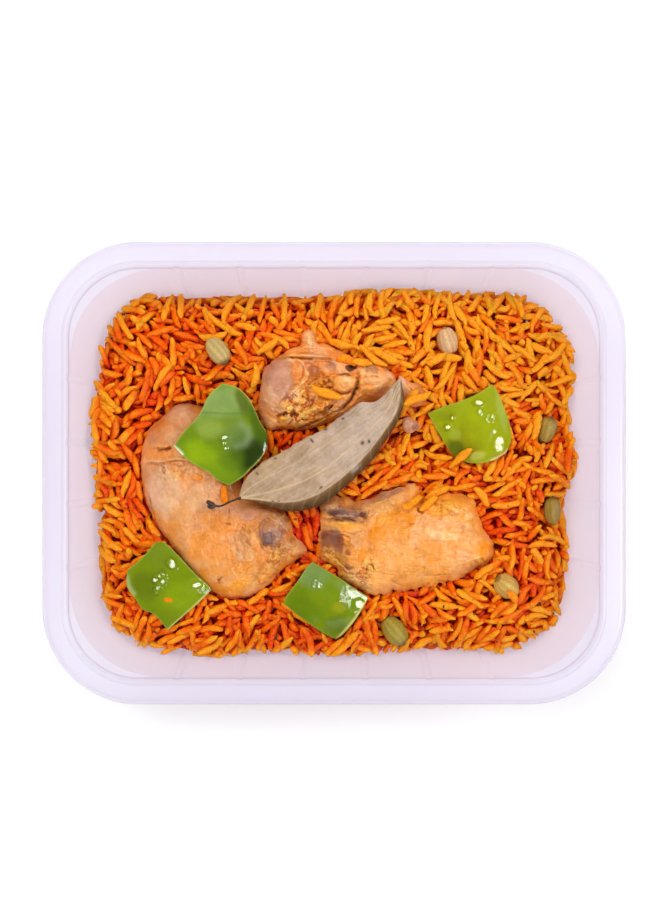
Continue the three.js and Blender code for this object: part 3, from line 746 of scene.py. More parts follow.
THIGH_DABS = [
    # hollow behind the knuckle, painted darker as painted shade
    (-5, 41.5, 6.5, 3.5, 0, -1.6, "copper", 0.85), (-1, 43, 3, 2, 10, 0, "mauve", 0.6),
    (-8.5, 40.5, 2.8, 2.4, 30, 0, "clay", 0.6), (-6.5, 37, 5, 2, 0, -1.2, "brick", 0.6),
    # dusky skin at the left end
    (-22.5, 35.5, 7, 11, -5, 1.9, "dusk", 0.95), (-25, 39, 4, 5, 0, 0, "mauve", 0.6),
    (-20, 30.5, 3, 3.5, 20, 0, "mauve", 0.5), (-26.5, 26, 3, 2.8, 0, 0.3, "rose", 0.5),
    (-29.5, 32.5, 1.4, 7, -4, 0, "tan", 0.6), (-23, 44, 5, 1.6, 8, 0.3, "dusk", 0.6),
    (-23.5, 34.5, 6.5, 11, -5, 0, "rose", 0.45), (-22, 24.5, 2, 2, 0, -0.5, "mauve", 0.5),
    (-28, 21, 2, 1.6, -40, -0.3, "wine", 0.6),
    # torn middle, its crumbs and the pits between them, which are painted dark as painted shade
    (-13.5, 29, 5, 7, -10, -0.9, "rust", 0.8), (-15, 31, 2, 3, 15, 0.9, "blush", 0.85),
    (-12.5, 33, 2, 2, 0, 0.6, "peach", 0.7), (-11, 28.5, 1.6, 2.8, -10, 0.5, "tan", 0.7),
    (-14.5, 25.5, 1.8, 1.4, 20, 1.7, "cream", 0.95), (-17.5, 26, 1.6, 1.4, 0, 1.4, "butter", 0.95),
    (-12.5, 23, 1.8, 1.1, 25, 1.5, "butter", 0.95), (-18, 21, 2, 1.1, 12, 1.5, "cream", 0.95),
    (-14.5, 20.5, 1.7, 0.9, 10, 1.1, "peach", 0.9), (-21, 21, 1.8, 1, 20, 1.3, "honey", 0.9),
    (-19.5, 23.5, 1, 1, 0, -2.4, "deep_shade", 0.95), (-16, 23.5, 1, 0.6, 20, -1.8, "umber", 0.9),
    (-21.5, 23, 1.4, 0.6, 10, -1.6, "umber", 0.9), (-13, 24.5, 1, 0.5, 30, -1.4, "umber", 0.8),
    # hollow with crumbs, right of the middle, painted dark round the crumbs as painted shade
    (-6.5, 31, 5, 3.5, -8, -2.4, "copper", 0.7), (-3, 35, 3, 2.2, -10, -1.2, "umber", 0.85),
    (-5, 36, 1, 0.8, 0, 1.5, "honey", 0.95), (-3, 37, 0.9, 0.8, 0, 1.3, "copper", 0.95),
    (-1.5, 35, 1, 0.8, 0, 1.4, "apricot", 0.95), (-3.5, 34, 0.9, 0.8, 0, 1.2, "honey", 0.95),
    (-1, 33, 0.9, 0.8, 0, 1.2, "amber", 0.95), (-6, 34, 0.8, 0.7, 0, 1, "copper", 0.9),
    (-8, 29.5, 1.6, 1.6, 0, 0.2, "mauve", 0.6), (-9, 34, 1.6, 3, 10, 0.6, "tan", 0.7),
    # lip under the hollow, with its painted shadow under it
    (-5, 26.5, 4, 2.2, 12, 2.3, "apricot", 0.95), (-7, 25, 1.6, 1.2, 10, 0.2, "butter", 0.6),
    (-2, 26, 2.1, 0.8, 28, -2.6, "deep_shade", 0.95), (-5, 23.5, 3, 0.8, 20, -1.4, "brick", 0.8),
    # knuckle
    (4.5, 35.5, 5, 3.5, 4, 3.3, "peach", 0.97), (2, 33.5, 1.6, 1.8, 0, 0, "apricot", 0.6),
    (5.5, 37, 2.2, 1.6, 0, 0.3, "cream", 0.6), (7, 33.5, 1.2, 1.6, 30, 0, "apricot", 0.5),
    # right end, a bright fold over a slit that is painted dark as painted shade
    (7, 42, 2.2, 1.4, 14, -2.8, "deep_shade", 0.97), (4.5, 40, 1.4, 0.7, 0, 0.5, "tan", 0.8),
    (10.5, 41.5, 1.2, 1.6, -20, 0.8, "peach", 0.8), (16.5, 37, 7, 6, -12, 1.5, "apricot", 0.9),
    (15, 41, 3, 1.7, -6, -0.4, "wine", 0.95), (15, 42, 2, 0.8, 0, 0, "night", 0.6),
    (11.5, 40.5, 1.4, 2.4, -10, 0.5, "peach", 0.8), (19.5, 41, 1.6, 1.6, 0, 0.4, "peach", 0.7),
    (22, 39.5, 1.2, 2.9, 30, 0.5, "blush", 0.8), (16, 37, 4.5, 1.2, 4, 0.6, "peach", 0.8),
    (15, 34, 4, 1, 6, 0.5, "apricot", 0.7), (20, 33, 2, 1.4, 40, 0.2, "clay", 0.6),
    (9.5, 35, 1, 3, 6, -0.6, "rust", 0.7),
    # shadow along the lower edge
    (-15, 16.5, 9.5, 2.4, 14, -1.8, "umber", 0.85), (-6.5, 20.5, 8, 1.6, 26, -1, "brick", 0.8),
    (-22.5, 17, 2.4, 1.6, 0, -1.2, "deep_shade", 0.9), (1, 23.5, 4, 1.6, 32, -0.4, "copper", 0.7),
    # knob at the top
    (-10, 54, 1.8, 2.9, 20, 0.9, "peach", 0.95), (-9, 51.5, 1.6, 1.2, 0, 0, "cream", 0.6),
    # broad tones
    (-7.5, 40.5, 3, 2.4, 0, -0.8, "brick", 0.6), (-9.5, 33, 3.5, 4, 0, 0.2, "honey", 0.35),
    (-3.5, 30, 4, 2.6, 0, 0, "honey", 0.45), (2.5, 29, 3, 2.4, 20, 0, "honey", 0.4),
    (8.5, 32.5, 3, 4, 0, 0, "apricot", 0.45), (19, 35, 4, 3, 0, 0, "peach", 0.5),
    (-29, 36, 1.6, 5, 0, 0, "tan", 0.45),
]

THIGH_LINES = [
    # folds along the top, with their dark beds painted as painted shade
    ([(-23, 45.5), (-17.5, 45.5), (-14, 45), (-11.5, 42.5), (-10, 39.5), (-11, 37), (-13.5, 34.5),
      (-15.5, 33), (-17, 30)], 1.0, 1.6, "cream", 0.95, -1),
    ([(-16.5, 44.5), (-13, 43.5), (-12, 41), (-12.5, 38), (-15, 35.5)], 0.3, -0.8, "rust", 0.5, 0),
    ([(-22.5, 46.5), (-19, 48.5), (-14.5, 49.5), (-9.5, 50), (-4, 50), (1.5, 48.5),
      (5, 47.5)], 1, 1.1, "peach", 0.8, 1),
    ([(-24.5, 45.5), (-17.5, 46), (-11.5, 45.5), (-5.5, 45.5), (1, 45.5)], 0.5, -1.8, "umber", 0.85, 0),
    ([(-17.5, 47.5), (-11, 48), (-5, 47.5), (1, 46.5)], 0.4, -0.5, "rust", 0.7, 0),
    ([(-20, 47), (-13.5, 47), (-6.5, 46.5)], 0.3, 0.5, "cream", 0.8, 0),
    # slit right of the knuckle, painted dark as painted shade, and its lip
    ([(9, 41), (10, 38.5), (9, 34), (7, 29.5), (4, 26), (1, 23.5)], 0.6, -2.2, "deep_shade", 0.95, 0),
    ([(11.5, 35.5), (11, 32), (8.5, 28.5), (5.5, 25.5)], 1, 1.2, "peach", 0.9, 1),
    # right end
    ([(11, 42.5), (13.5, 44), (17.5, 43.5), (20.5, 41)], 0.6, 0.8, "peach", 0.8, 0),
    ([(11.5, 38), (15, 38.5), (19.5, 38)], 0.3, -0.6, "rust", 0.7, 0),
    ([(11, 35), (15, 35), (18.5, 35)], 0.3, -0.6, "rust", 0.7, 0),
    ([(19.5, 42.5), (22.5, 40), (24, 37), (21.5, 33), (19.5, 30)], 0.5, 0.7, "cream", 0.9, 0),
    # edges of the knuckle and the hollow, whose dark lines are painted shade
    ([(0.5, 38), (1.5, 39), (5, 39), (8, 38.5)], 0.4, -0.9, "umber", 0.8, 0),
    ([(0.5, 33), (2.5, 31.5), (5, 31.5), (8, 33.5)], 0.4, -1, "umber", 0.85, 0),
    ([(-8.5, 29), (-6.5, 29), (-3, 28.5), (-1, 27)], 0.3, 0.5, "butter", 0.8, 0),
    ([(-11, 34.5), (-9, 36.5), (-6, 38)], 0.4, -0.9, "umber", 0.8, 0),
    # fibres along the lower edge, with painted shade in the dark lines between them
    ([(-22.5, 19), (-17.5, 18), (-11, 19.5), (-5, 22), (1, 25)], 0.4, 0.9, "rust", 0.9, 0),
    ([(-21.5, 17), (-16, 16), (-9, 18), (-1.5, 22), (4.5, 25.5)], 0.4, 0.8, "rust", 0.9, 0),
    ([(-19, 15), (-13.5, 15), (-6.5, 17.5), (0.5, 21)], 0.4, 0.7, "brick", 0.85, 0),
    ([(-22.5, 18), (-16.5, 17), (-10, 19), (-3, 22)], 0.3, -0.9, "deep_shade", 0.9, 0),
    ([(-20, 16), (-14.5, 15.5), (-7, 18), (0, 21.5)], 0.3, -0.9, "deep_shade", 0.9, 0),
    ([(-13.5, 17), (-6.5, 20), (0, 23.5)], 0.2, 0.6, "clay", 0.8, 0),
]

BREAST_DABS = [
    # belly of the curve
    (-47.5, -34.5, 16, 12, -40, 1.3, "apricot", 0.8),
    # upper end
    (-65.5, 19.5, 10.5, 9, 40, 0.8, "clay", 0.85), (-71.5, 18, 2.4, 7, -28, 0, "copper", 0.7),
    (-60, 25.5, 3, 3, 40, 0, "rose", 0.7), (-70.5, 12, 3, 2, 0, 0.3, "clay", 0.6),
    (-65.5, 16.5, 3.5, 3, 30, 0.2, "tan", 0.6),
    # left side
    (-69.5, -7.5, 6.5, 9.5, 0, 0.4, "rose", 0.8), (-73.5, -0.5, 4, 3.5, 0, 0, "clay", 0.7),
    (-71, -7.5, 3, 4, 0, 0.2, "rose", 0.6),
    # band of paler skin over the middle
    (-63, 2, 5, 2.4, 0, 0, "tan", 0.6), (-51.5, -6, 6.5, 3, 0, 0.3, "tan", 0.7),
    (-59, -12.5, 9, 4, 0, 0.3, "peach", 0.7), (-63, -18, 6.5, 3, 0, 0, "peach", 0.6),
    (-48, -14, 6.5, 2.4, 0, 0, "tan", 0.6), (-39, -15.5, 5, 3, 0, 0.3, "rose", 0.7),
    (-32.5, -16.5, 6, 2.8, 5, 0.5, "rose", 0.85), (-35, -14, 3.5, 2, 0, 0, "tan", 0.5),
    # lower half
    (-47, -24.5, 10.5, 3, 8, 0, "apricot", 0.7), (-56.5, -34.5, 6.5, 5, -40, 0.2, "apricot", 0.7),
    (-47.5, -39.5, 7, 5, -20, 0.2, "peach", 0.6), (-33.5, -42, 10.5, 5.5, 30, 0, "honey", 0.85),
    (-40.5, -46.5, 8, 2.4, 8, 0, "honey", 0.7), (-29, -38, 5, 2.4, 10, 0.3, "peach", 0.7),
    (-35, -47.5, 3.5, 1.6, 0, 0, "peach", 0.6), (-60, -22.5, 3.5, 2, 0, 0, "apricot", 0.6),
    (-60, -26, 2.4, 0.9, 0, 0.2, "amber", 0.7), (-55, -23.5, 2.2, 1.2, 0, 0.5, "peach", 0.8),
    (-51.5, -25, 2, 0.8, 0, 0, "amber", 0.6),
    # bits and slits near the fold at the upper end, the slits painted dark as painted shade
    (-63.5, -1.5, 1.8, 2.2, -8, 0.6, "butter", 0.95), (-65.5, -0.5, 1.6, 2.2, -30, 0.2, "tan", 0.8),
    (-63, -3, 1, 1, 0, 0.4, "cream", 0.8), (-64.5, 4.5, 1.1, 1.8, 0, 0.5, "apricot", 0.8),
    (-54.5, -2, 2.2, 1.5, -8, 0.9, "orange", 0.97), (-60, 3, 2.8, 1.4, 0, 0, "tan", 0.7),
    (-57.5, 0.5, 1.6, 1.6, 0, -0.3, "copper", 0.6), (-68, 0.9, 0.6, 1.4, 8, -1.3, "deep_shade", 0.95),
    (-69, 2, 0.4, 1, 20, -0.5, "wine", 0.7), (-69.5, -2.5, 2.4, 0.5, -10, -0.4, "tan", 0.5),
    (-74, -11.5, 0.5, 0.8, 0, -0.6, "plum", 0.8), (-72.5, -19, 0.6, 0.6, 0, -0.8, "umber", 0.8),
    # honeyed fold in the middle, with a painted highlight in the blush dab on it
    (-37.5, -31.5, 4.5, 6.5, 10, -0.5, "apricot", 0.8), (-40, -30, 1.2, 5, 8, 0.4, "peach", 0.7),
    (-37.5, -33, 1.4, 2.6, 14, 0.9, "blush", 0.95), (-35.5, -25, 2.4, 3.5, -4, -0.9, "amber", 0.95),
    (-37, -27, 1.2, 2.4, 20, 0, "ochre", 0.6), (-33, -22.5, 1.8, 1.2, 20, 0.3, "clay", 0.7),
    (-31, -28, 1.7, 3.5, 22, 0.5, "apricot", 0.85), (-33, -31.5, 1.6, 2.4, 30, 0, "apricot", 0.7),
    (-29, -20.5, 2, 2, 30, 0.2, "clay", 0.7), (-29, -18, 2, 1.6, 0, 0, "rose", 0.6),
    # dark socket at the right end and the flesh round it; the near-black dab at its upper rim is painted
    # shade, and the blush dab below it is a painted highlight
    (-25, -24, 5.5, 6, 8, -1.6, "mauve", 0.97), (-27, -27, 2.8, 3.5, -20, -0.6, "plum", 0.85),
    (-25.5, -22, 2.8, 2.4, 0, 0.4, "dusk", 0.6), (-21, -26.5, 2.4, 2.4, 0, 0.2, "dusk", 0.6),
    (-23, -30.5, 3.5, 1.2, -6, 0.2, "dusk", 0.7), (-20, -20, 1.4, 4, -28, -0.8, "night", 0.9),
    (-22, -16.5, 2, 1.2, -24, -1.2, "deep_shade", 0.9), (-23, -18.5, 1.2, 2, -40, 0.3, "mauve", 0.6),
    (-18.5, -22.5, 1.2, 2.4, -20, 0.2, "rust", 0.8), (-18, -29.5, 2.2, 1.1, 6, 0.8, "blush", 0.95),
    (-17, -27.5, 1, 1.2, 0, -0.8, "plum", 0.8), (-15, -30, 2.4, 2.4, -30, 0.3, "tan", 0.8),
    # right tip, below the socket
    (-25.5, -34.5, 5, 2, 4, 0.5, "apricot", 0.8), (-20, -35.5, 3.5, 2, 10, 0.7, "peach", 0.8),
    (-15, -33, 2.8, 2, -10, 0.7, "apricot", 0.8), (-22, -32, 4, 0.7, -8, 0.5, "butter", 0.8),
    (-22.5, -38.5, 1.6, 1.1, 0, 1, "peach", 0.9), (-20, -38, 1.2, 1, 0, 0.8, "apricot", 0.9),
    (-25, -40, 2.4, 1.4, 20, 0.6, "apricot", 0.8), (-29, -44, 3.5, 1.4, 22, 0.5, "apricot", 0.8),
    (-13, -34, 1.4, 1.2, 0, -0.6, "brick", 0.7), (-19, -40, 2, 1, 40, -0.5, "rust", 0.7),
    (-49, -42, 6.5, 4, -40, 0, "amber", 0.55),
    # broad tones
    (-26, -36, 6, 3.5, 10, 0, "copper", 0.4), (-68, -8, 7, 10, 0, 0, "blush", 0.55),
    (-60, -14, 11, 7, -10, 0, "blush", 0.4),
]

BREAST_LINES = [
    # folds across the upper end, with their dark beds painted as painted shade
    ([(-71.5, 9.1), (-69.6, 9.0), (-67.4, 9.3), (-64.5, 9.9)], 0.55, -1.8, "brick", 0.8, 0),
    ([(-64.5, 10.8), (-68, 10.2), (-71, 10.2), (-76, 10)], 1.0, 1.4, "peach", 0.85, -1),
    ([(-77.6, 3.0), (-73, 3.5), (-70, 3.0), (-66, 3.8)], 0.5, -1.3, "brick", 0.75, 0),
    ([(-67, 4), (-64.5, 4.5), (-61.5, 5), (-57.5, 4.5), (-54.5, 3)], 0.3, -0.8, "rust", 0.7, 0),
    ([(-55.5, 3.4), (-60.4, 5.3), (-66.4, 4.9), (-70, 4.1), (-73, 4.7),
      (-77.5, 4.1)], 0.6, 1.2, "cream", 0.85, -1),
    # left side: a crease painted dark as painted shade, and its lip
    ([(-75, -7.5), (-74.5, -10.5), (-73.5, -14.5), (-72.5, -17.5), (-72, -20)], 0.3, -1.4, "wine", 0.85, 0),
    ([(-73, -20), (-74, -15), (-75, -11.5), (-76, -7.5)], 0.6, 0.8, "peach", 0.8, 1),
    # nicks, painted dark as painted shade
    ([(-42, -14), (-42, -17), (-42.5, -20)], 0.3, -0.6, "wine", 0.7, 0),
    ([(-43, -20.5), (-42, -20.5), (-41, -20.5)], 0.4, -0.7, "umber", 0.9, 0),
    ([(-44.5, -41.5), (-45.5, -43), (-47, -43)], 0.3, -0.8, "deep_shade", 0.9, 0),
    ([(-46, -42.5), (-46, -45)], 0.3, -0.7, "umber", 0.9, 0),
    # folds towards the socket
    ([(-38.5, -22.5), (-36.5, -26.5), (-33.5, -30), (-30.5, -33.5)], 0.6, 1.3, "cream", 0.95, -1),
    ([(-40.5, -27), (-41, -30), (-40, -33), (-39, -37)], 0.5, 0.7, "peach", 0.8, 0),
    # rim of the socket
    ([(-34.5, -21.5), (-31, -19), (-27.5, -16.5), (-25.5, -18.5), (-22, -20.5),
      (-18.5, -23.5)], 0.6, 0.9, "tan", 0.85, 1),
    ([(-29, -24.5), (-29, -28), (-27, -30.5), (-23, -32), (-18.5, -32)], 0.5, 1, "peach", 0.9, -1),
    ([(-23, -17.5), (-21, -20.5), (-19, -23), (-17.5, -26)], 0.3, 0.6, "rose", 0.8, 0),
    ([(-31, -14.5), (-27.5, -14.5), (-24.5, -16), (-21, -16.5)], 0.3, -0.9, "night", 0.85, 0),
    # right tip
    ([(-12.5, -33.5), (-15, -35), (-18.5, -37.5), (-21, -40), (-25.5, -43)], 0.4, -1.4, "brick", 0.9, 0),
    ([(-25.5, -37.5), (-23, -39.5), (-21, -40)], 0.3, -1, "brick", 0.85, 0),
    ([(-30.5, -46), (-26.5, -43.5), (-23, -40.5)], 0.3, -0.6, "rust", 0.7, 0),
    ([(-29, -34.5), (-25, -36.5), (-20, -36.5)], 0.3, -0.5, "copper", 0.6, 0),
    ([(-39, -18.5), (-35, -19.5), (-31.5, -18.5)], 0.3, -0.4, "clay", 0.6, 0),
]

CHUNK_DABS = [
    # smooth right half, with painted highlights in the cream dabs
    (38.5, -28.5, 24.5, 13.5, -4, 1.2, "apricot", 0.7), (24.5, -39.5, 16, 5.5, -6, 0.2, "peach", 0.7),
    (26.5, -32.5, 13.5, 5.5, 0, 0, "peach", 0.6), (43, -25, 6.5, 2.2, -5, 0.3, "cream", 0.9),
    (38.5, -23.5, 2.8, 2, -10, 0.3, "cream", 0.7), (54, -17.5, 2.2, 1.6, 0, 0.5, "cream", 0.9),
    # honeyed upper right
    (51, -14, 3.5, 2.8, 0, 0.3, "peach", 0.6), (45.5, -12.5, 6.5, 3, -4, 0.5, "honey", 0.8),
    (42, -16, 4, 2, 0, 0, "honey", 0.7), (48.5, -18, 4, 1.2, 0, -0.2, "honey", 0.7),
    (55, -21, 3, 2, -20, 0, "honey", 0.7), (60.5, -32, 3.5, 5, 12, 0, "orange", 0.9),
    (57.5, -36, 5, 2, 10, 0.2, "orange", 0.8), (54, -28.5, 3, 3, 0, 0, "peach", 0.6),
    # notch at the top
    (28.5, -18, 5, 2.2, -12, 0.3, "orange", 0.85), (20.5, -14, 4, 2, 10, 0.3, "peach", 0.7),
    (21.5, -18.5, 4, 2, 0, 0, "honey", 0.7), (25.5, -10.5, 3, 1.6, 20, 0.3, "peach", 0.7),
    (17.5, -24, 3, 3, 0, 0.2, "orange", 0.8), (16.5, -30, 2.8, 3, 0, 0, "apricot", 0.7),
    (15, -21, 2, 2.8, -14, -0.2, "orange", 0.8),
    # specks, and small dark holes near the top painted as painted shade
    (42, -37, 5.5, 2, 0, 0.2, "peach", 0.6), (33, -37.5, 0.9, 0.6, 0, -0.3, "ochre", 0.8),
    (36, -38, 0.8, 0.7, 0, -0.4, "ochre", 0.8), (42, -41, 0.9, 0.6, 0, -0.3, "ochre", 0.7),
    (34.5, -15, 1.2, 0.8, -10, -1.4, "brick", 0.9), (35, -16, 0.8, 0.8, 0, -1, "rust", 0.8),
    (28, -14, 0.8, 0.6, -20, -0.9, "rust", 0.8), (42, -18.5, 0.8, 0.6, 0, -0.6, "copper", 0.8),
    (47, -17, 0.8, 0.6, 0, 0.4, "amber", 0.8), (49.5, -19.5, 0.8, 0.6, 0, -0.5, "amber", 0.8),
    (51, -21.5, 1, 0.6, 0, -0.4, "amber", 0.8),
    # dark bands at the upper left
    (4, -13.5, 9.5, 3, 2, 0.4, "dusk", 0.9), (1, -12.5, 5, 2, 10, 0.6, "rust", 0.8),
    (1.5, -9.5, 2.8, 1.4, -14, 0.6, "amber", 0.9), (7.5, -9.5, 2.8, 1.6, -8, 0.9, "orange", 0.95),
    (4.5, -16, 9, 2.5, -4, -0.2, "plum", 0.97), (0, -16, 3, 1.6, 0, -0.2, "night", 0.8),
    (7, -15.5, 3, 1.2, -8, 0.2, "mauve", 0.7), (4.5, -17.5, 3.5, 0.8, -2, 0.4, "lilac", 0.8),
    (12, -17, 1.6, 1.6, 0, -0.6, "night", 0.85), (9.5, -19, 3, 1, -8, 0, "mauve", 0.7),
    (2.5, -19, 6.5, 0.6, -1, -1.2, "night", 0.9), (11, -13, 3.5, 1.6, 0, 0.2, "clay", 0.8),
    # bright roll under them
    (4, -21.5, 8.5, 2.2, -6, 1.3, "honey", 0.97), (-1, -22.5, 3, 1.6, -10, 0, "ochre", 0.7),
    (7, -24, 4, 1.8, -4, 0.2, "apricot", 0.8), (4.5, -20, 5.5, 0.8, -4, 0.4, "peach", 0.7),
    # dark socket on the left
    (-1, -28, 5, 5, 0, -1.1, "plum", 0.97), (-3, -25, 2, 2.8, 20, 0, "wine", 0.7),
    (2.5, -27, 1.6, 2.8, -20, 0.2, "wine", 0.8), (1, -31.5, 3, 1.6, -10, 0.3, "mauve", 0.7),
    (3, -34, 3, 1.8, -30, 0.5, "ochre", 0.9), (5.5, -32, 1.6, 1.2, -30, -0.3, "wine", 0.7),
    # amber seam
    (8.5, -28, 2.8, 4, 10, 0.3, "amber", 0.97), (7.5, -31, 1.6, 1.6, 20, 0, "apricot", 0.6),
    # crumbs at the lower left
    (6, -39, 3.5, 1.8, -36, 0.2, "dusk", 0.85), (9, -40, 2, 1.6, -40, 0, "tan", 0.7),
    (-6.5, -33, 2, 1.6, 30, 0.7, "apricot", 0.9), (-5, -34, 1.6, 1.2, 0, 0, "copper", 0.7),
    (4.5, -40, 1.4, 1.4, -30, 0.8, "peach", 0.9), (6.5, -42, 1.6, 1, -30, 0.8, "butter", 0.9),
    (3, -42, 1, 1.2, 0, 0.5, "apricot", 0.9), (9, -41.5, 1.2, 0.8, -20, 0.4, "peach", 0.8),
    (11, -45, 4, 2, -34, 0.3, "clay", 0.85), (15, -47.5, 4, 1.4, -20, 0.2, "peach", 0.8),
    (13, -36, 1.6, 1.2, -40, 0.8, "butter", 0.9), (16, -38, 1.6, 1.2, -30, 0.9, "butter", 0.9),
    (12.5, -40, 2.4, 1.2, 8, 0.7, "apricot", 0.9), (17.5, -37, 1.2, 1.2, 0, 0.5, "peach", 0.7),
    (11, -41.5, 2.8, 1, -10, -0.2, "copper", 0.8), (18.5, -45, 4, 1.6, -12, 0.3, "peach", 0.7),
    # dusky rim at the top
    (20.5, -9.5, 9.5, 1.2, 22, 0.6, "mauve", 0.97), (17, -10.5, 3.5, 0.9, 10, 0.3, "plum", 0.85),
    (24.5, -8, 3.5, 0.9, 24, 0.4, "mauve", 0.8), (15, -11.5, 3, 1, 12, 0.3, "clay", 0.8),
    (30, -5.5, 3, 1, 10, 0.6, "peach", 0.9), (31, -7.5, 2.4, 1.6, 20, 0.5, "honey", 0.9),
    # broad tones
    (2, -31, 6.5, 5, 0, 0, "brick", 0.4), (0, -22, 4.5, 3, 0, 0, "rust", 0.35),
    (32, -11, 5, 3, 0, 0, "orange", 0.6), (12, -28, 5, 5, 0, 0, "amber", 0.4),
]

CHUNK_LINES = [
    # seam down the left
    ([(18, -13.5), (17, -16), (14, -19), (13, -24), (11.5, -27), (11, -31), (10, -35.5),
      (10.5, -39.5)], 0.6, 0.9, "orange", 0.7, 1),
    ([(15, -21.5), (13.5, -25), (12, -28.5), (11.5, -33), (10.5, -37)], 0.9, -0.5, "orange", 0.85, 0),
    ([(14.5, -14), (13.5, -17), (12.5, -20)], 0.4, -0.8, "brick", 0.7, 0),
    # rim at the top, with the dark line under it painted as painted shade
    ([(13, -12.5), (16.5, -11.5), (20.5, -10.5), (25, -8.5), (29.5, -7)], 0.4, -1.2, "umber", 0.85, 0),
    ([(20, -9.5), (23, -7.5), (26.5, -6), (30.5, -5), (33, -4.5)], 0.4, 0.8, "blush", 0.9, 0),
    ([(15, -13), (19, -11.5), (23, -10)], 0.4, 0.6, "butter", 0.8, 0),
    ([(14.5, -10.5), (17.5, -10), (20.5, -10)], 0.3, 0.4, "lilac", 0.7, 0),
    # right half
    ([(36, -15.5), (39, -17), (43, -17), (47.5, -16.5), (52, -17)], 0.4, -0.7, "amber", 0.7, 0),
    ([(25.5, -22), (29.5, -21.5), (32.5, -19.5)], 0.4, -0.6, "amber", 0.8, 0),
    ([(51, -22.5), (54, -24), (58, -24.5)], 0.4, 0.5, "butter", 0.7, 0),
    ([(48, -37), (52.5, -36), (56.5, -34.5), (60, -34)], 0.4, 0.5, "butter", 0.8, 0),
    # lower edge
    ([(22.5, -42.5), (24.5, -44.5), (27.5, -46), (31, -45.5)], 0.3, -0.9, "rust", 0.8, 0),
    ([(35, -41.5), (39, -41.5), (44.5, -41), (50, -41)], 0.3, -0.6, "ochre", 0.7, 0),
    ([(46, -39), (49.5, -40.5), (53.5, -40)], 0.3, -0.5, "ochre", 0.6, 0),
    ([(14.5, -35.5), (15.5, -37.5), (17, -39.5)], 0.3, -1, "rust", 0.85, 0),
    ([(11, -38), (13, -38.5), (15.5, -40)], 0.3, -0.9, "rust", 0.85, 0),
    # bands and socket on the left
    ([(-3, -20.5), (1.5, -20), (7, -20), (12, -22)], 0.4, 0.8, "butter", 0.85, -1),
    ([(-3, -23), (0, -24), (4.5, -25), (7, -26.5)], 0.3, -0.7, "night", 0.7, 0),
    ([(-1.5, -15), (3, -14.5), (9, -15), (13, -16)], 0.3, 0.5, "dusk", 0.7, 0),
    ([(-2, -18), (3.5, -18), (9.5, -18)], 0.3, -0.6, "night", 0.8, 0),
    ([(-3, -13.5), (2.5, -13.5), (7, -13.5)], 0.3, -0.5, "wine", 0.7, 0),
    ([(-1, -34), (1.5, -36), (4, -38.5), (6, -41.5)], 0.5, 0.7, "butter", 0.8, 0),
    ([(0, -33.5), (3, -36.5), (6.5, -39)], 0.3, -0.7, "umber", 0.7, 0),
]

# outlines from above
THIGH = [
    (-29.2, 19.7), (-30.6, 27.3), (-29.8, 35.2), (-28.4, 41.2), (-24.8, 45.4), (-20.6, 48.2),
    (-15.6, 50.8), (-13.2, 52.4), (-12.6, 56), (-10.2, 57.8), (-7.4, 56.6), (-6.8, 52.6), (-3.0, 51.2),
    (3.2, 49), (7.6, 46.2), (12.6, 45.8), (18.8, 43.6), (24.6, 38.6), (24.2, 34.2), (19, 30),
    (12, 27.4), (4, 22.5), (-4.8, 19), (-12.4, 17.2), (-19.6, 17.6), (-25.2, 17.6),
]
BREAST = [
    (-55.9, 27.4), (-63.5, 27.4), (-69.5, 22.6), (-75.3, 16.7), (-77.2, 10.6), (-78.4, 4.1),
    (-77.6, -5.3), (-75.6, -14.2), (-71.9, -20.6), (-65.9, -29.4), (-59.1, -38.9), (-51.7, -46.8),
    (-43.8, -50.9), (-36.4, -51), (-30.2, -48.6), (-24.3, -43.3), (-20.6, -39.2), (-15.4, -35.8),
    (-10.9, -32.1), (-13.3, -28.6), (-16.3, -25.4), (-17.7, -20), (-20.2, -16.6), (-24.7, -14.6),
    (-30.4, -12.2), (-35.8, -9.6), (-37.6, -4.7), (-38.6, 4.3), (-41.8, 14.4), (-47.8, 23.4),
]
CHUNK = [
    (-5.2, -13.2), (-3.2, -10.4), (1.8, -9.3), (6.4, -10.8), (12, -11.5), (17, -9.7), (22.5, -7.6),
    (28.5, -5.4), (32.8, -4.4), (34.8, -6.4), (35.6, -10.2), (40.2, -9.1), (46.2, -8.4), (52.9, -9.3),
    (57.3, -12.2), (58.5, -16.8), (61.3, -24.4), (64.9, -29.6), (64.3, -34.7), (61.3, -37.7),
    (55.4, -40.4), (49.3, -43.4), (40.4, -45.7), (32.8, -47.2), (21.3, -49.3), (14.4, -49.2),
    (7.8, -46.1), (2.8, -42.8), (1.2, -38.7), (-4.3, -35.4), (-5.8, -30.7), (-5.4, -22.7),
]
SHRED_1 = [
    (26.2, 37.8), (27.8, 38.6), (30.6, 36.4), (34.6, 35.3), (38, 31.5), (36.2, 27.8), (32, 26.6),
    (28.4, 29.4),
]
SHRED_1_DABS = [
    (28.5, 35.5, 2, 4, 20, 0.2, "blush", 0.8),
    (31.5, 33, 2.5, 3.5, 30, 0.3, "peach", 0.7),
    (35, 31.5, 2.5, 3.5, 10, -0.3, "rust", 0.8),
    (33, 29, 3, 2, -20, 0.2, "copper", 0.7),
]
SHRED_1_LINES = [
    ([(28.5, 37.5), (30.5, 34), (33, 31), (35, 29.5)], 0.4, -0.6, "brick", 0.6, 0),
    ([(29.5, 31), (32, 29), (35, 28.5)], 0.4, 0.5, "cream", 0.6, 0),
]
SHRED_2 = [(28.3, 22), (33, 21.5), (35, 18), (31, 15.5), (27.8, 18)]
SHRED_2_DABS = [
    (30.5, 19.5, 2.5, 1.6, -30, 0.2, "tan", 0.7),
    (33, 18, 1.6, 2, 0, -0.2, "wine", 0.6),
]

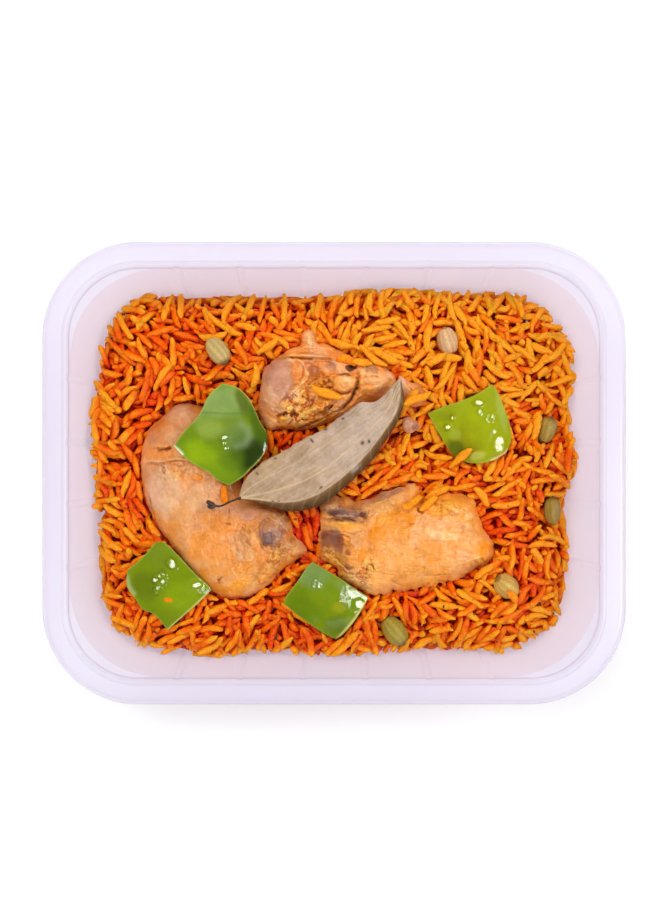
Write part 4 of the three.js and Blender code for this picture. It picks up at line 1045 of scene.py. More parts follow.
# torn places: middle, half sizes, turn and share
THIGH_TORN = [
    (-14, 27, 6.5, 8, -20, 1.0), (-17, 22, 7, 3, 12, 1.0), (-2, 32, 8, 6, -20, 0.5), (-5, 24, 9, 4, 25, 0.6),
    (-9, 52, 2.5, 4, 0, 0.6), (12, 38, 3, 8, -20, 0.4),
]
BREAST_TORN = [
    (-36, -28, 4.5, 8, 15, 0.5), (-20, -33, 9, 3.5, 20, 0.9), (-27, -42, 5, 5, 40, 0.6),
    (-62, 1, 8, 3.5, 10, 0.5), (-45, -9, 6, 3, 10, 0.4), (-63, -35, 3, 8, 35, 0.4),
]
CHUNK_TORN = [
    (8, -43, 9, 5, -35, 1.0), (-3, -34, 3.5, 4, 0, 1.0), (42, -13, 10, 2.5, -8, 0.7),
    (19, -13, 9, 2, 10, 0.5), (36, -47, 12, 2.5, 10, 0.7), (58, -38, 4, 5, -30, 0.9),
    (14, -37, 3, 3, 0, 0.8), (50, -44, 8, 3, 20, 0.6), (1, -12, 6, 2, 0, 0.7),
]

CUTS = [
    Cut("chicken_thigh_meat", "chicken_thigh", THIGH, heights=(17, 29, 36.4), round_over=7, grain=-20,
        base=srgb(236, 150, 74), dabs=THIGH_DABS, lines=THIGH_LINES, torn=THIGH_TORN,
        count=460, levels=150, ragged=0.7, gain=(1.03, 0.98, 0.8)),
    Cut("chicken_breast_meat", "chicken_breast", BREAST, heights=(14, 27, 35.6), round_over=10, grain=-75,
        base=srgb(238, 158, 92), dabs=BREAST_DABS, lines=BREAST_LINES, torn=BREAST_TORN,
        count=540, levels=170, gain=(0.9, 0.83, 0.64)),
    Cut("chicken_chunk_meat", "chicken_chunk", CHUNK, heights=(14, 27, 36.4), round_over=9, grain=-5,
        base=srgb(250, 172, 90), dabs=CHUNK_DABS, lines=CHUNK_LINES, torn=CHUNK_TORN,
        count=540, levels=170, ragged=1.0, gain=(0.97, 0.9, 0.64)),
    Cut("chicken_shred_one", "chicken_shred_1", SHRED_1, heights=(25, 30.5, 33.6), round_over=4, grain=-45,
        base=srgb(226, 146, 104), dabs=SHRED_1_DABS, lines=SHRED_1_LINES, count=110, levels=40),
    Cut("chicken_shred_two", "chicken_shred_2", SHRED_2, heights=(24.5, 29, 31.2), round_over=3, grain=-45,
        base=srgb(196, 136, 108), dabs=SHRED_2_DABS, count=90, levels=30),
]


# ---------------------------------------------------------------- peppers

# Each pepper: four sides from corner to corner, height of the middle, how far the sides hang, slope, and how
# far the cut face of each side leans out. Beads of water (place, radius, stretch, turn, how steeply they fall
# to the right and away from the viewer) and clusters of them (place, half sizes, turn, how many, largest
# radius, falls). The skin's colour, its patches (place, half sizes, turn, colour, share) and soft lines
# (points, width, colour, share): creases and painted sheen, and pale rims and painted glints, which are drawn
# after the paler rim of the skin. Some patches are painted shade and some are painted sheen.
PEPPERS = [
    dict(
        name="pepper_1", height=41.6, arch=(0.6, 1.6), tilt=(0.05, -0.03), lean=(0.3, 0.2, 0.1, 0.25),
        sides=[
            [(-63.8, 10.5), (-58.9, 5.6), (-54.3, 2.6), (-49.7, 0), (-45.7, -3.3), (-41.5, -5.2)],
            [(-41.5, -5.2), (-36.5, -2), (-33.2, 1.3), (-29.2, 5.2), (-26.6, 9.2), (-26.3, 12)],
            [
                (-26.3, 12), (-26.9, 16.4), (-29.2, 20.4), (-32.9, 28.3), (-35.8, 31.9), (-39.1, 34.2),
                (-44.3, 35.7),
            ],
            [
                (-44.3, 35.7), (-48.3, 32.2), (-50.7, 28.9), (-52.3, 25), (-54.9, 21), (-58.9, 17.1),
                (-63.8, 10.5),
            ],
        ],
        drops=[(-43.1, 13.9, 2.5, 0.65, 25, 0.39, -0.09), (-42.7, 9.7, 1.3, 1, 0, 0.36, -0.07)],
        clusters=[(-42.8, 11.6, 1.4, 1.6, 0, 5, 1.2, 0.385, -0.08)],
        green=(106, 134, 14),
        # the dark patches along the right side are painted shade where the skin turns down; the pale
        # grey-blue patch over the top and the ring right of the middle are painted sheen
        patches=[
            (-45, 29, 14, 6.5, 0, (134, 158, 84), 0.85), (-52, 20, 8, 4, -30, (124, 148, 60), 0.6),
            (-49, 17, 5, 4, 0, (150, 168, 70), 0.5), (-30, 8, 9, 9, -55, (34, 50, 0), 0.97),
            (-29, 19, 4, 10, 15, (66, 90, 8), 0.85), (-53, 8, 8, 4.5, -30, (142, 170, 8), 0.8),
            (-46, 1, 6, 3, -25, (120, 150, 10), 0.6), (-38, 14.7, 5.6, 5.6, 0, (122, 142, 92), 0.4),
            (-38, 14.7, 3.4, 3.4, 0, (92, 120, 30), 0.35), (-36.2, 28.6, 2.5, 6, 16, (84, 98, 16), 0.85),
            (-40, 5, 5, 4, 0, (86, 114, 12), 0.5),
        ],
        # a crease, and a pale arc that is painted sheen
        creases_and_sheen=[
            ([(-56, 24.2), (-44, 23.4), (-30, 23.5)], 0.4, (84, 112, 40), 0.5),
            (
                [(-36.8, 19.4), (-34.2, 17.6), (-33.4, 14.4), (-35, 11.4), (-38.4, 10.4)],
                1.4, (136, 156, 110), 0.35,
            ),
        ],
        # a painted highlight along the wet left rim
        rims_and_glints=[([(-63.6, 10.2), (-62, 8.9), (-60.4, 7.3)], 0.75, (240, 246, 206), 0.95)],
    ),
    dict(
        name="pepper_2", height=36.2, arch=(2.6, 1.6), tilt=(0.06, 0.02), lean=(0.3, 0.4, 0.2, 0.2),
        sides=[
            [(48.3, 6.2), (51.6, 4.4), (56.3, 3.6), (63, 4.4), (68.3, 7.1), (70, 8.8)],
            [(70, 8.8), (71.3, 12.8), (70.6, 19.4), (68.3, 26.1), (65.6, 33), (63.6, 35.5)],
            [(63.6, 35.5), (57.6, 31.7), (51, 28.7), (44.3, 26.6), (37.8, 23.9)],
            [(37.8, 23.9), (39, 21.4), (42.3, 15.4), (46.3, 8.8), (48.3, 6.2)],
        ],
        drops=[
            (66.0, 11.2, 5.6, 0.62, 84, -0.033, 0.05), (45.8, 18.1, 1.9, 0.9, 20, 0.53, -0.045),
            (47.5, 21.8, 1.5, 0.7, 80, 0.51, -0.1), (57.9, 27.7, 2.8, 0.6, 0, 0.196, -0.245),
            (58.3, 24.3, 1.7, 0.8, 90, 0.18, -0.16),
        ],
        clusters=[(62.2, 21.8, 3.0, 2.2, 20, 16, 1.3, 0.15, -0.165)],
        green=(148, 158, 4),
        patches=[
            (54, 12.4, 5.5, 6.5, 0, (132, 126, 2), 0.8), (48.6, 9.8, 3.2, 3.6, 0, (80, 90, 6), 0.8),
            (48.4, 15.4, 2.2, 2.6, 20, (160, 170, 60), 0.45), (57.4, 6.6, 3, 1.6, 10, (190, 186, 84), 0.6),
            (64, 30, 4, 5, 20, (142, 152, 30), 0.5), (57, 18, 5, 7, 10, (156, 168, 6), 0.6),
            (44, 22.6, 4, 2, 20, (120, 132, 6), 0.5), (67, 24.5, 1.5, 8, 13, (164, 176, 74), 0.6),
        ],
        creases_and_sheen=[],
        # a pale warm rim along the lower right: partly the cut flesh's colour and partly painted light
        rims_and_glints=[([(63, 4.7), (68, 7.4), (69.6, 9)], 0.5, (236, 214, 150), 0.8)],
    ),
    dict(
        name="pepper_3", height=35.6, arch=(1.4, 1.6), tilt=(0.04, 0.02), lean=(0.2, 0.2, 0.2, 0.2),
        sides=[
            [
                (-83.8, -42.7), (-83, -46.7), (-80, -50.7), (-77, -55), (-73, -56.7), (-70.7, -58.7),
                (-67, -63.7),
            ],
            [(-67, -63.7), (-63, -60), (-58.4, -56), (-53, -51.3), (-49.2, -47.4)],
            [(-49.2, -47.4), (-50.4, -45.4), (-56.4, -39.7), (-61.7, -34), (-67, -28.8), (-70, -27.5)],
            [(-70, -27.5), (-72.4, -28.7), (-75, -32), (-79, -36), (-82.7, -39), (-83.8, -42.7)],
        ],
        drops=[(-64.8, -36.6, 3.4, 0.7, 125, 0.31, -0.12), (-54.9, -45, 3.2, 0.55, 8, 0.12, 0.01)],
        clusters=[(-69.5, -43.9, 2.2, 4.6, -8, 24, 2.0, 0.43, 0.01)],
        green=(114, 136, 2),
        patches=[
            (-60, -50, 7, 6, 0, (132, 156, 6), 0.6), (-77, -45, 4.4, 6.6, 20, (92, 108, 4), 0.8),
            (-66, -58, 4, 3.6, 0, (108, 126, 10), 0.6), (-69, -34, 5, 5, 0, (112, 128, 26), 0.5),
            (-66.2, -51, 1.5, 0.9, -10, (238, 120, 8), 1.0), (-55, -45, 4, 3, 40, (136, 154, 30), 0.5),
        ],
        creases_and_sheen=[],
        rims_and_glints=[
            ([(-66.4, -63), (-58.2, -55.7), (-50, -48)], 0.45, (214, 204, 124), 0.75),
            ([(-83.2, -42), (-82.4, -45.6), (-80.4, -48.6)], 1.0, (176, 190, 130), 0.5),
        ],
    ),
    dict(
        name="pepper_4", height=35.2, arch=(1.6, 1.8), tilt=(0.03, 0.08), lean=(0.25, 0.25, 0.2, 0.2),
        sides=[
            [(-20.4, -53), (-14.4, -57.6), (-9.1, -61.6), (-3.1, -65.6), (0.9, -67.8)],
            [(0.9, -67.8), (4.9, -64.3), (8.9, -59), (12.3, -53.6), (14.1, -50.2)],
            [(14.1, -50.2), (7.6, -46), (2.3, -42.3), (-4.4, -38.3), (-8.7, -35.8)],
            [(-8.7, -35.8), (-11.1, -38.3), (-15.1, -44.3), (-19.1, -49.6), (-20.4, -53)],
        ],
        drops=[(10.2, -52.8, 3.0, 0.9, -30, 0.025, 0.042)],
        clusters=[(-7.1, -44.6, 1.6, 2, 0, 9, 1.6, 0.3, -0.08)],
        green=(112, 134, 2),
        patches=[
            (-8, -41, 7, 5, -30, (122, 146, 76), 0.8), (6, -47, 7, 2.4, -30, (128, 148, 70), 0.6),
            (-12, -55, 7, 5, -35, (92, 120, 2), 0.6), (2, -54, 2.6, 2.2, 0, (150, 150, 16), 0.7),
            (1, -62, 5, 4, 0, (88, 112, 8), 0.6), (-2, -49, 4, 4, 0, (112, 138, 20), 0.5),
        ],
        creases_and_sheen=[],
        rims_and_glints=[([(1.6, -66.9), (8.4, -58.8), (13.3, -51)], 0.5, (216, 206, 124), 0.7)],
    ),
]
PEPPER_THICK = 4.2
PEPPER_SIDE = 24.0  # about how long a side is
PEPPER_STEPS = 96
CORNER_SHARE = 0.35  # how much the steps crowd towards the corners
CUT_STEPS = 8  # rows of points down the cut face
LEAN_BLUR = 9
CUT_GREEN = srgb(176, 186, 84)
LOW_GREEN = srgb(128, 140, 40)


def pepper_sheet(pepper):
    """A surface that fills four sides, and its steps across, from 0 to 1 both ways."""
    even = np.linspace(0, 1, PEPPER_STEPS + 1)
    t = CORNER_SHARE * (0.5 - 0.5 * np.cos(math.pi * even)) + (1 - CORNER_SHARE) * even
    curves = []
    for side in pepper["sides"]:
        fine = open_curve(side, 400)
        curves.append(np.stack([np.interp(t, np.linspace(0, 1, 400), fine[:, k]) for k in (0, 1)], 1))
    low, right, high, left = curves[0], curves[1], curves[2][::-1], curves[3][::-1]
    v, u = np.meshgrid(t, t, indexing="ij")
    a, b, c, d = low[0], low[-1], high[-1], high[0]
    U, V = u[..., None], v[..., None]
    p = (1 - V) * low[None] + V * high[None] + (1 - U) * left[:, None] + U * right[:, None]
    p = p - ((1 - U) * (1 - V) * a + U * (1 - V) * b + U * V * c + (1 - U) * V * d)
    slope = (p - p.mean((0, 1))) @ np.array(pepper["tilt"])
    arch = pepper["arch"][0] * (2 * u - 1) ** 2 + pepper["arch"][1] * (2 * v - 1) ** 2
    return np.concatenate([p, (pepper["height"] + slope - arch)[..., None]], -1), u, v


def scattered_drops(pepper, rng):
    """The beads of a pepper's clusters, in the same form as its single ones."""
    for cx, cy, rx, ry, turn, count, largest, right, away in pepper["clusters"]:
        c, s = math.cos(math.radians(turn)), math.sin(math.radians(turn))
        for _ in range(count):
            reach, angle = math.sqrt(rng.random()), rng.uniform(0, 2 * math.pi)
            dx, dy = rx * reach * math.cos(angle), ry * reach * math.sin(angle)
            size, stretch, lie = rng.uniform(0.5, 1) * largest, rng.uniform(0.5, 1), rng.uniform(0, 180)
            yield cx + dx * c - dy * s, cy + dx * s + dy * c, size, stretch, lie, right, away


def droplets(pepper, index, x, y):
    """Height of the water on a skin: each bead is a low wedge with round sides."""
    rng = np.random.default_rng(300 + index)
    height = np.zeros(np.shape(x))
    wander = 0.16 * noise(xyz(x, y), 0.9, 75).reshape(np.shape(x))
    for cx, cy, r, stretch, turn, right, away in pepper["drops"] + list(scattered_drops(pepper, rng)):
        dx, dy = x - cx, y - cy
        u, v = turned(dx, dy, turn)
        far = np.hypot(u, v / stretch) + wander
        spread = rng.uniform(0.9, 1.1)
        wedge = 0.04 * r + spread * (abs(right) * r - right * dx) + 0.7 * abs(away) * r - away * dy
        height = np.maximum(height, np.maximum(wedge, 0) * smooth((1 - far / r) / 0.42))
    return height


def make_pepper(pepper, index, material):
    """A square of pepper: skin on top, flesh below, and cut faces that lean out a little between them."""
    top, u, v = pepper_sheet(pepper)
    n, shape, flat = PEPPER_STEPS, u.shape, top.reshape(-1, 3)
    normal = unit(np.cross(np.gradient(top, axis=1), np.gradient(top, axis=0)))
    edge = np.minimum(np.minimum(u, 1 - u), np.minimum(v, 1 - v)) * PEPPER_SIDE
    fall = 0.3 * (1 - np.sqrt(np.clip(1 - (1 - np.clip(edge / 0.4, 0, 1)) ** 2, 0, 1)))
    waves = (0.3 * noise(flat, 9, 60 + index) + 0.07 * noise(flat, 3, 70 + index)).reshape(shape)
    waves = waves + droplets(pepper, index, top[..., 0], top[..., 1])
    inner = 0.35 * noise(flat, 4, 80 + index).reshape(shape)
    skin_top = (top + normal * (waves - fall)[..., None]).reshape(-1, 3)
    skin_low = (top - normal * (PEPPER_THICK + inner)[..., None]).reshape(-1, 3)
    loop = grid_edge(n, n)
    upper = skin_top[loop]
    ahead = np.roll(upper, -1, 0) - np.roll(upper, 1, 0)
    outward = unit(np.stack([ahead[:, 1], -ahead[:, 0]], 1))
    outward *= np.sign((outward * (upper[:, :2] - top.mean((0, 1))[:2])).sum(1))[:, None]
    lean, half = np.repeat(pepper["lean"], n), LEAN_BLUR // 2
    lean = np.convolve(np.r_[lean[-half:], lean, lean[:half]], np.ones(LEAN_BLUR) / LEAN_BLUR, "valid")
    lower = skin_low[loop] + np.c_[outward * lean[:, None], np.zeros(len(loop))]
    rows, sides = [loop], []
    below = len(flat)
    for k in range(CUT_STEPS):
        s = (k + 1) / CUT_STEPS
        ring = upper * (1 - s) + lower * s
        lift = 0.25 * math.sin(math.pi * s) ** 0.5 * lean + 0.12 * noise(ring, 2.0, 90 + index)
        sides.append(ring + np.c_[outward * lift[:, None], np.zeros(len(ring))])
        rows.append(2 * below + k * len(loop) + np.arange(len(loop)))
    rows.append(loop + below)
    verts = np.vstack([skin_top, skin_low] + sides)
    quads = grid_quads(n, n)
    faces = [np.vstack([quads, quads[:, ::-1] + below] + [band(a, b) for a, b in zip(rows, rows[1:])])]
    skin = np.zeros(len(verts))
    skin[:below] = smooth(edge.ravel() / 0.3)
    paint = pepper_paint(pepper, index, verts, skin, edge.ravel())
    name = pepper["name"]
    return make(name + "_flesh", verts, faces, material, [name], paint, {"skin": skin})


def pepper_paint(pepper, index, verts, skin, edge):
    """Colours of the skin with its patches and lines, and of the flesh, darker lower down."""
    below = len(edge)
    x, y = verts[:below, 0], verts[:below, 1]

    def draw(top, lines):
        for points, width, colour, share in lines:
            top = blend_colour(top, share * ridge(near_line(x, y, points)[0], width), srgb(*colour))
        return top

    green = np.array(srgb(*pepper["green"]))
    top = np.tile(green, (below, 1))
    top = blend_colour(top, 0.3 * smooth(0.5 + fbm(xyz(x, y), 10, 3, 100 + index)), green * (0.8, 0.8, 0.7))
    for k, (cx, cy, rx, ry, turn, colour, share) in enumerate(pepper["patches"]):
        top = blend_colour(top, share * spot(x, y, cx, cy, rx, ry, turn, 0.9, 0.25, 110 + k), srgb(*colour))
    top = draw(top, pepper["creases_and_sheen"])
    top = blend_colour(top, 0.3 * smooth(1 - edge / 0.9), CUT_GREEN)
    top = draw(top, pepper["rims_and_glints"])
    p = np.tile(CUT_GREEN, (len(verts), 1))
    p[:below] = blend_colour(p[:below], skin[:below], 0) + top * skin[:below, None]
    low = verts[below:, 2]
    p[below:] = blend_colour(p[below:], 0.6 * smooth((low.mean() - low) / 2), LOW_GREEN)
    return p


# ---------------------------------------------------------------- bay leaf

# middle vein from stalk to tip, then the reach of the blade to its upper and lower side along it
LEAF_SPINE = [
    (-37.2, -10, 41), (-25.3, -7.6, 40.8), (-12.4, -3.3, 40.7), (-2.8, 2.1, 40.8), (4.3, 7.8, 41.2),
    (11.6, 14.5, 41.8), (16.4, 19.3, 42.2), (21.4, 25.6, 42.3), (26.2, 37.2, 41.2),
]
LEAF_UPPER = [
    (0, 0.5), (0.02, 5), (0.06, 8.6), (0.15, 12.4), (0.25, 13.7), (0.36, 14.7), (0.44, 14.5), (0.53, 13),
    (0.62, 12.2), (0.7, 11.2), (0.78, 10.4), (0.84, 5.8), (0.91, 3), (0.97, 1.6), (1, 0.2),
]
LEAF_LOWER = [
    (0, 0.5), (0.05, 2.2), (0.12, 5.4), (0.19, 9.4), (0.25, 11.1), (0.34, 11.7), (0.44, 10.8), (0.56, 10),
    (0.64, 9.6), (0.73, 7.9), (0.82, 6.3), (0.9, 5.3), (0.94, 3.6), (1, 0.2),
]
LEAF_STALK = [
    (-36.6, -10, 41.1), (-39, -10.6, 41), (-42.4, -12.2, 40.4), (-45.4, -13.2, 39.6), (-48.2, -12.6, 39.2),
    (-50.4, -11.3, 39.1),
]
# dark specks: place, half sizes and turn
LEAF_SPECKS = [
    (-8.7, 12.7, 1.2, 0.5, -50), (-30.4, -0.3, 0.9, 0.35, -40), (-3.2, 17.1, 0.8, 0.4, 30),
    (11.3, 11.8, 0.9, 0.8, 60), (13.9, 12.4, 0.6, 0.8, 0), (-24.1, -11.2, 0.6, 0.3, 0),
    (-21.7, -11.2, 0.5, 0.3, 0), (-11.1, -13.1, 1.2, 0.4, 5), (-5.1, -5.8, 0.8, 0.5, 40),
    (-23.3, 5.6, 0.9, 0.3, 20), (3.6, 21.4, 0.7, 0.5, 30), (16.8, 8.2, 0.8, 0.3, 50),
]
LEAF_VEIN_UP, LEAF_VEIN_LOW = 0.56, 0.62  # how far out the side veins run, as shares of the reach
LEAF_ALONG, LEAF_ACROSS = 170, 80  # steps of the blade's grid
LEAF_FINE = 601
LEAF_BLUR = 9
LEAF_THICK = 0.4
LEAF_SCALE = 90  # about how long the blade is


def leaf_reach(s, table):
    """How far the blade reaches to one side, at shares of its length."""
    at, reach = np.array(table).T
    return np.interp(s, at, reach)


def make_leaf(material):
    """The blade: a rippled sheet with veins, whose lower side curls under."""
    nu, nv = LEAF_ALONG, LEAF_ACROSS
    path, s = open_curve(LEAF_SPINE, LEAF_FINE), np.linspace(0, 1, nu + 1)
    place = np.stack([np.interp(s, np.linspace(0, 1, LEAF_FINE), path[:, k]) for k in range(3)], 1)
    tangent = unit(np.gradient(place, axis=0))
    side = unit(np.stack([-tangent[:, 1], tangent[:, 0], np.zeros(nu + 1)], 1))
    kernel = np.hanning(LEAF_BLUR)
    kernel /= kernel.sum()
    upper, lower = [
        np.convolve(np.pad(leaf_reach(s, table), LEAF_BLUR // 2, "edge"), kernel, "valid")
        for table in (LEAF_UPPER, LEAF_LOWER)
    ]
    T, S = np.meshgrid(np.linspace(-1, 1, nv + 1), s, indexing="ij")
    half = np.where(T < 0, lower[None], upper[None])
    rim = xyz(S * LEAF_SCALE, np.sign(T) * 40)
    nick = 0.5 * noise(rim, 6, 3).reshape(S.shape)
    nick = nick + 0.25 * noise(rim, 2, 4).reshape(S.shape)
    half = half + nick * np.abs(T) ** 4 * np.sin(math.pi * S)
    fat = np.minimum(1, half / 8)
    p = place[None] + side[None] * (T * half)[..., None]
    curl = np.clip((-T - LEAF_VEIN_LOW) / (1 - LEAF_VEIN_LOW), 0, 1)
    droop = (5.2 * curl**1.6 + 0.8 * np.clip(-T, 0, 1)) * fat + 1.0 * np.clip(T, 0, 1) ** 2 * fat
    ripple = 0.55 * np.sin(9 * S + 2 * T) * fat
    q = p.reshape(-1, 3) * (1, 1, 0)
    crumple = 0.4 * noise(q, 9, 14).reshape(S.shape) + 0.1 * noise(q, 3, 15).reshape(S.shape)
    veins = ridge(T * half, 0.4)
    for where, strength in ((LEAF_VEIN_UP, 0.7), (-LEAF_VEIN_LOW, 0.9)):
        curve = where * np.sin(math.pi * np.clip(S * 1.02, 0, 1)) ** 0.2
        veins = np.maximum(veins, strength * ridge((T - curve) * half, 0.35))
    valley = -0.5 * ridge(np.abs(T) * half, 2.4)
    ribs = np.sin((S * LEAF_SCALE + np.abs(T * half) * 0.9) * 1.2 + 1.2 * noise(q, 5, 16).reshape(S.shape))
    fine = np.clip(ribs - 0.75, 0, 1) / 0.25
    lift = 0.3 * veins + 0.04 * fine + valley
    p[..., 2] += ripple - droop + (crumple + lift) * fat
    top = p.reshape(-1, 3)
    verts = np.vstack([top, top - (0, 0, LEAF_THICK)])
    quads, edge, below = grid_quads(nu, nv), grid_edge(nu, nv), len(top)
    sides = np.roll(band(edge, edge + below), 1, axis=1)
    faces = [np.vstack([quads, quads[:, ::-1] + below, sides])]
    paint = leaf_paint(top, S.ravel(), T.ravel(), veins.ravel(), fine.ravel(), curl.ravel())
    paint = np.vstack([paint, paint * np.array([0.86, 0.84, 0.78])])
    return make("bay_leaf_blade", verts, faces, material, ["bay_leaf"], paint)


def leaf_paint(p, s, t, veins, fine, curl):
    """Colours of the blade, from places, shares along and across it, and its veins."""
    x, y = p[:, 0], p[:, 1]
    q = xyz(x, y)
    fibres = streaks(x, y, 36, 12, 0.7, 64)
    low = smooth((-t - 0.52 + 0.1 * noise(q, 6, 65)) / 0.14)
    tip = smooth((s - 0.84) / 0.1)
    rare = smooth((noise(q, 7, 68) - 0.1) * 3)
    rim = smooth((np.abs(t) - 0.95) / 0.05)
    layers = [
        (smooth((s - 0.2) / 0.5), (194, 168, 148)),
        (0.6 * smooth(0.4 + fbm(q, 13, 4, 61)), (170, 134, 98)),
        (0.32 * smooth(fbm(q, 5, 3, 63) * 2), (208, 184, 168)),
        (0.35 * smooth(0.2 + 1.2 * fibres), (212, 188, 164)),
        (0.3 * smooth(-0.1 - 1.2 * fibres), (140, 104, 72)),
        (0.5 * smooth((0.2 - s) / 0.2), (172, 134, 92)),
        # the lower side and its curled-under edge, painted darker as painted shade
        (0.9 * low, (126, 88, 50)),
        (0.7 * smooth(curl * 1.8), (104, 78, 36)),
        (0.5 * smooth((curl - 0.55) * 3), (60, 48, 16)),
        (0.15 * fine, (220, 196, 160)),
        (0.75 * veins, (222, 190, 150)),
        (0.4 * spot(x, y, 8.3, 1.6, 2.6, 1.0, 40, 0.8, 0.4, 66), (230, 220, 210)),
        (0.6 * tip * smooth(0.5 + 1.5 * streaks(x, y, 66, 6, 0.7, 67)), (128, 104, 56)),
    ]
    for cx, cy, rx, ry, turn in LEAF_SPECKS:
        u, v = turned(x - cx, y - cy, turn)
        layers.append((0.9 * np.exp(-(((u / rx) ** 2 + (v / ry) ** 2) ** 2)), (66, 50, 34)))
    layers += [
        (smooth((noise(q, 1.4, 67) - 0.6) * 9) * rare * 0.6, (84, 62, 46)),
        (0.5 * rim * smooth(0.5 + 2 * noise(q, 4, 69)), (96, 66, 40)),
    ]
    base = np.tile(srgb(184, 152, 118), (len(p), 1))
    for mask, colour in layers:
        base = blend_colour(base, mask, srgb(*colour))
    return np.clip(0.88 * base * (1 + 0.08 * noise(q, 1.0, 70))[:, None], 0, 1)


def tube(path, radii, around=10):
    """Vertices and faces of a closed tube along a path."""
    tangent = unit(np.gradient(path, axis=0))
    side = unit(np.cross(tangent, (0.0, 0.0, 1.0)))
    up = np.cross(side, tangent)
    angle = np.linspace(0, 2 * math.pi, around, endpoint=False)
    rings = [
        path[i] + radii[i] * (np.cos(angle)[:, None] * side[i] + np.sin(angle)[:, None] * up[i])
        for i in range(len(path))
    ]
    verts = np.vstack(rings + [path[:1], path[-1:]])
    return verts, ring_faces(len(path), around)


def make_stalk(material):
    """The leaf's stalk, which forks near its foot."""
    t = np.linspace(0, 1, 48)
    path = open_curve(LEAF_STALK, 48)
    path += 0.2 * np.stack([noise(path, 3, k) for k in (4, 5, 6)], 1)
    radii = 0.42 + 0.25 * (1 - smooth(t / 0.15)) + 0.5 * smooth((t - 0.74) / 0.1) * smooth((1.04 - t) / 0.1)
    verts, faces = tube(path, radii)
    fork = open_curve([path[34], path[40] + (-0.6, -1.2, 0), path[46] + (0, -1.6, 0)], 14)
    more, more_faces = tube(fork, 0.3 + 0.5 * np.sin(math.pi * np.linspace(0.1, 0.9, 14)) ** 2)
    faces = faces + [f + len(verts) for f in more_faces]
    return make("bay_leaf_stalk", np.vstack([verts, more]), faces, material)


# ---------------------------------------------------------------- cardamom pods

PODS = [
    dict(at=(-47, 48.8), turn=-55, lean=8, length=12.4, width=8.2, colour=(186, 160, 98)),
    dict(at=(46, 53.2), turn=-76, lean=-14, length=11.6, width=8.0, colour=(208, 166, 118)),
    dict(at=(87, 17.1), turn=74, lean=16, length=11.4, width=7.5, colour=(164, 136, 62)),
    dict(at=(89.2, -15.7), turn=92, lean=6, length=11.4, width=6.6, colour=(154, 126, 54)),
    dict(at=(69.7, -46), turn=-40, lean=-18, length=11.4, width=8.8, colour=(196, 158, 78)),
    dict(at=(24.7, -64.6), turn=-54, lean=8, length=13.2, width=8.8, colour=(160, 142, 56)),
]
POD_LIFT = 0.6
POD_RINGS, POD_AROUND = 60, 72
POD_RIDGES = 11
POD_TIP, POD_FOOT = srgb(92, 64, 30), srgb(84, 60, 30)


def make_pod(pod, index, material):
    """A ridged pod of three lobes, with a narrower tip."""
    s = np.linspace(-1, 1, POD_RINGS + 2)[1:-1]
    angle = np.linspace(0, 2 * math.pi, POD_AROUND, endpoint=False)
    body = np.sqrt(1 - np.abs(s) ** 2.4) * (1 + 0.05 * s)
    beak = 0.12 * smooth((s - 0.75) / 0.2)
    radius = np.maximum(body * (1 - beak), 0.03)
    S, A = np.meshgrid(s, angle, indexing="ij")
    ridges = np.cos(POD_RIDGES * A + 1.6 * S + index + 1.2 * np.sin(2 * A))
    lobes = 1 + 0.08 * np.cos(3 * A + 0.4 * index) + 0.016 * ridges
    seam = ridge(np.mod(A + 0.13 * index, 2 * math.pi / 3) - math.pi / 3, 0.1)
    R = radius[:, None] * lobes * pod["width"] / 2
    R = R * (1 - 0.05 * seam)
    half = pod["length"] / 2
    p = np.stack([S * pod["length"] / 2, R * np.cos(A), R * np.sin(A)], -1).reshape(-1, 3)
    p += (0.16 * noise(p, 2.6, 20 + index))[:, None] * (0, 1, 1)
    p = np.vstack([p, np.array([[-half, 0, 0], [half + 0.5, 0, 0]])])
    x, z = turned(p[:, 0], p[:, 2], -pod["lean"])
    x, y = turned(x, p[:, 1], -pod["turn"])
    cx, cy = pod["at"]
    p = np.stack([x + cx, y + cy, z + float(heap(cx, cy)) + POD_LIFT], 1)
    colour = np.array(srgb(*pod["colour"]))
    ribs = np.r_[ridges.ravel(), 0, 0] + 0.5 * noise(p, 2.2, 26)
    tip = np.r_[smooth((S.ravel() - 0.72) / 0.25), 0, 1]
    foot = np.r_[smooth((-S.ravel() - 0.86) / 0.1), 1, 0]
    base = np.tile(colour, (len(p), 1))
    base = blend_colour(base, smooth(ribs) * 0.4, colour * 1.35)
    base = blend_colour(base, smooth(-ribs) * 0.28, colour * 0.55)
    base = blend_colour(base, tip * 0.7, POD_TIP)
    base = blend_colour(base, foot * 0.6, POD_FOOT)
    number = index + 1
    faces = ring_faces(POD_RINGS, POD_AROUND)
    return make(f"cardamom_pod_{number}", p, faces, material, [f"cardamom_{number}"], base)


# ---------------------------------------------------------------- rice

CELL = 0.5
GX = np.arange(-105, 105.01, CELL)  # columns and rows of the maps of heights
GY = np.arange(-82, 82.01, CELL)
OPEN = 99.0  # a height that nothing reaches, where no topping lies over the rice
STEEPEST = 0.8
SINK = 1.2  # how far a grain sinks between those under it
PILE_DEPTH = 5.5  # how far under its final surface the pile starts
INTO_WALL = 0.25
ROUNDS, GRAINS_A_ROUND = 120, 60
FRINGE, FRINGE_STEPS = 260, 300
LEANING, CRUMBS, STEEP, SIDE_GRAINS = 170, 260, 200, 760

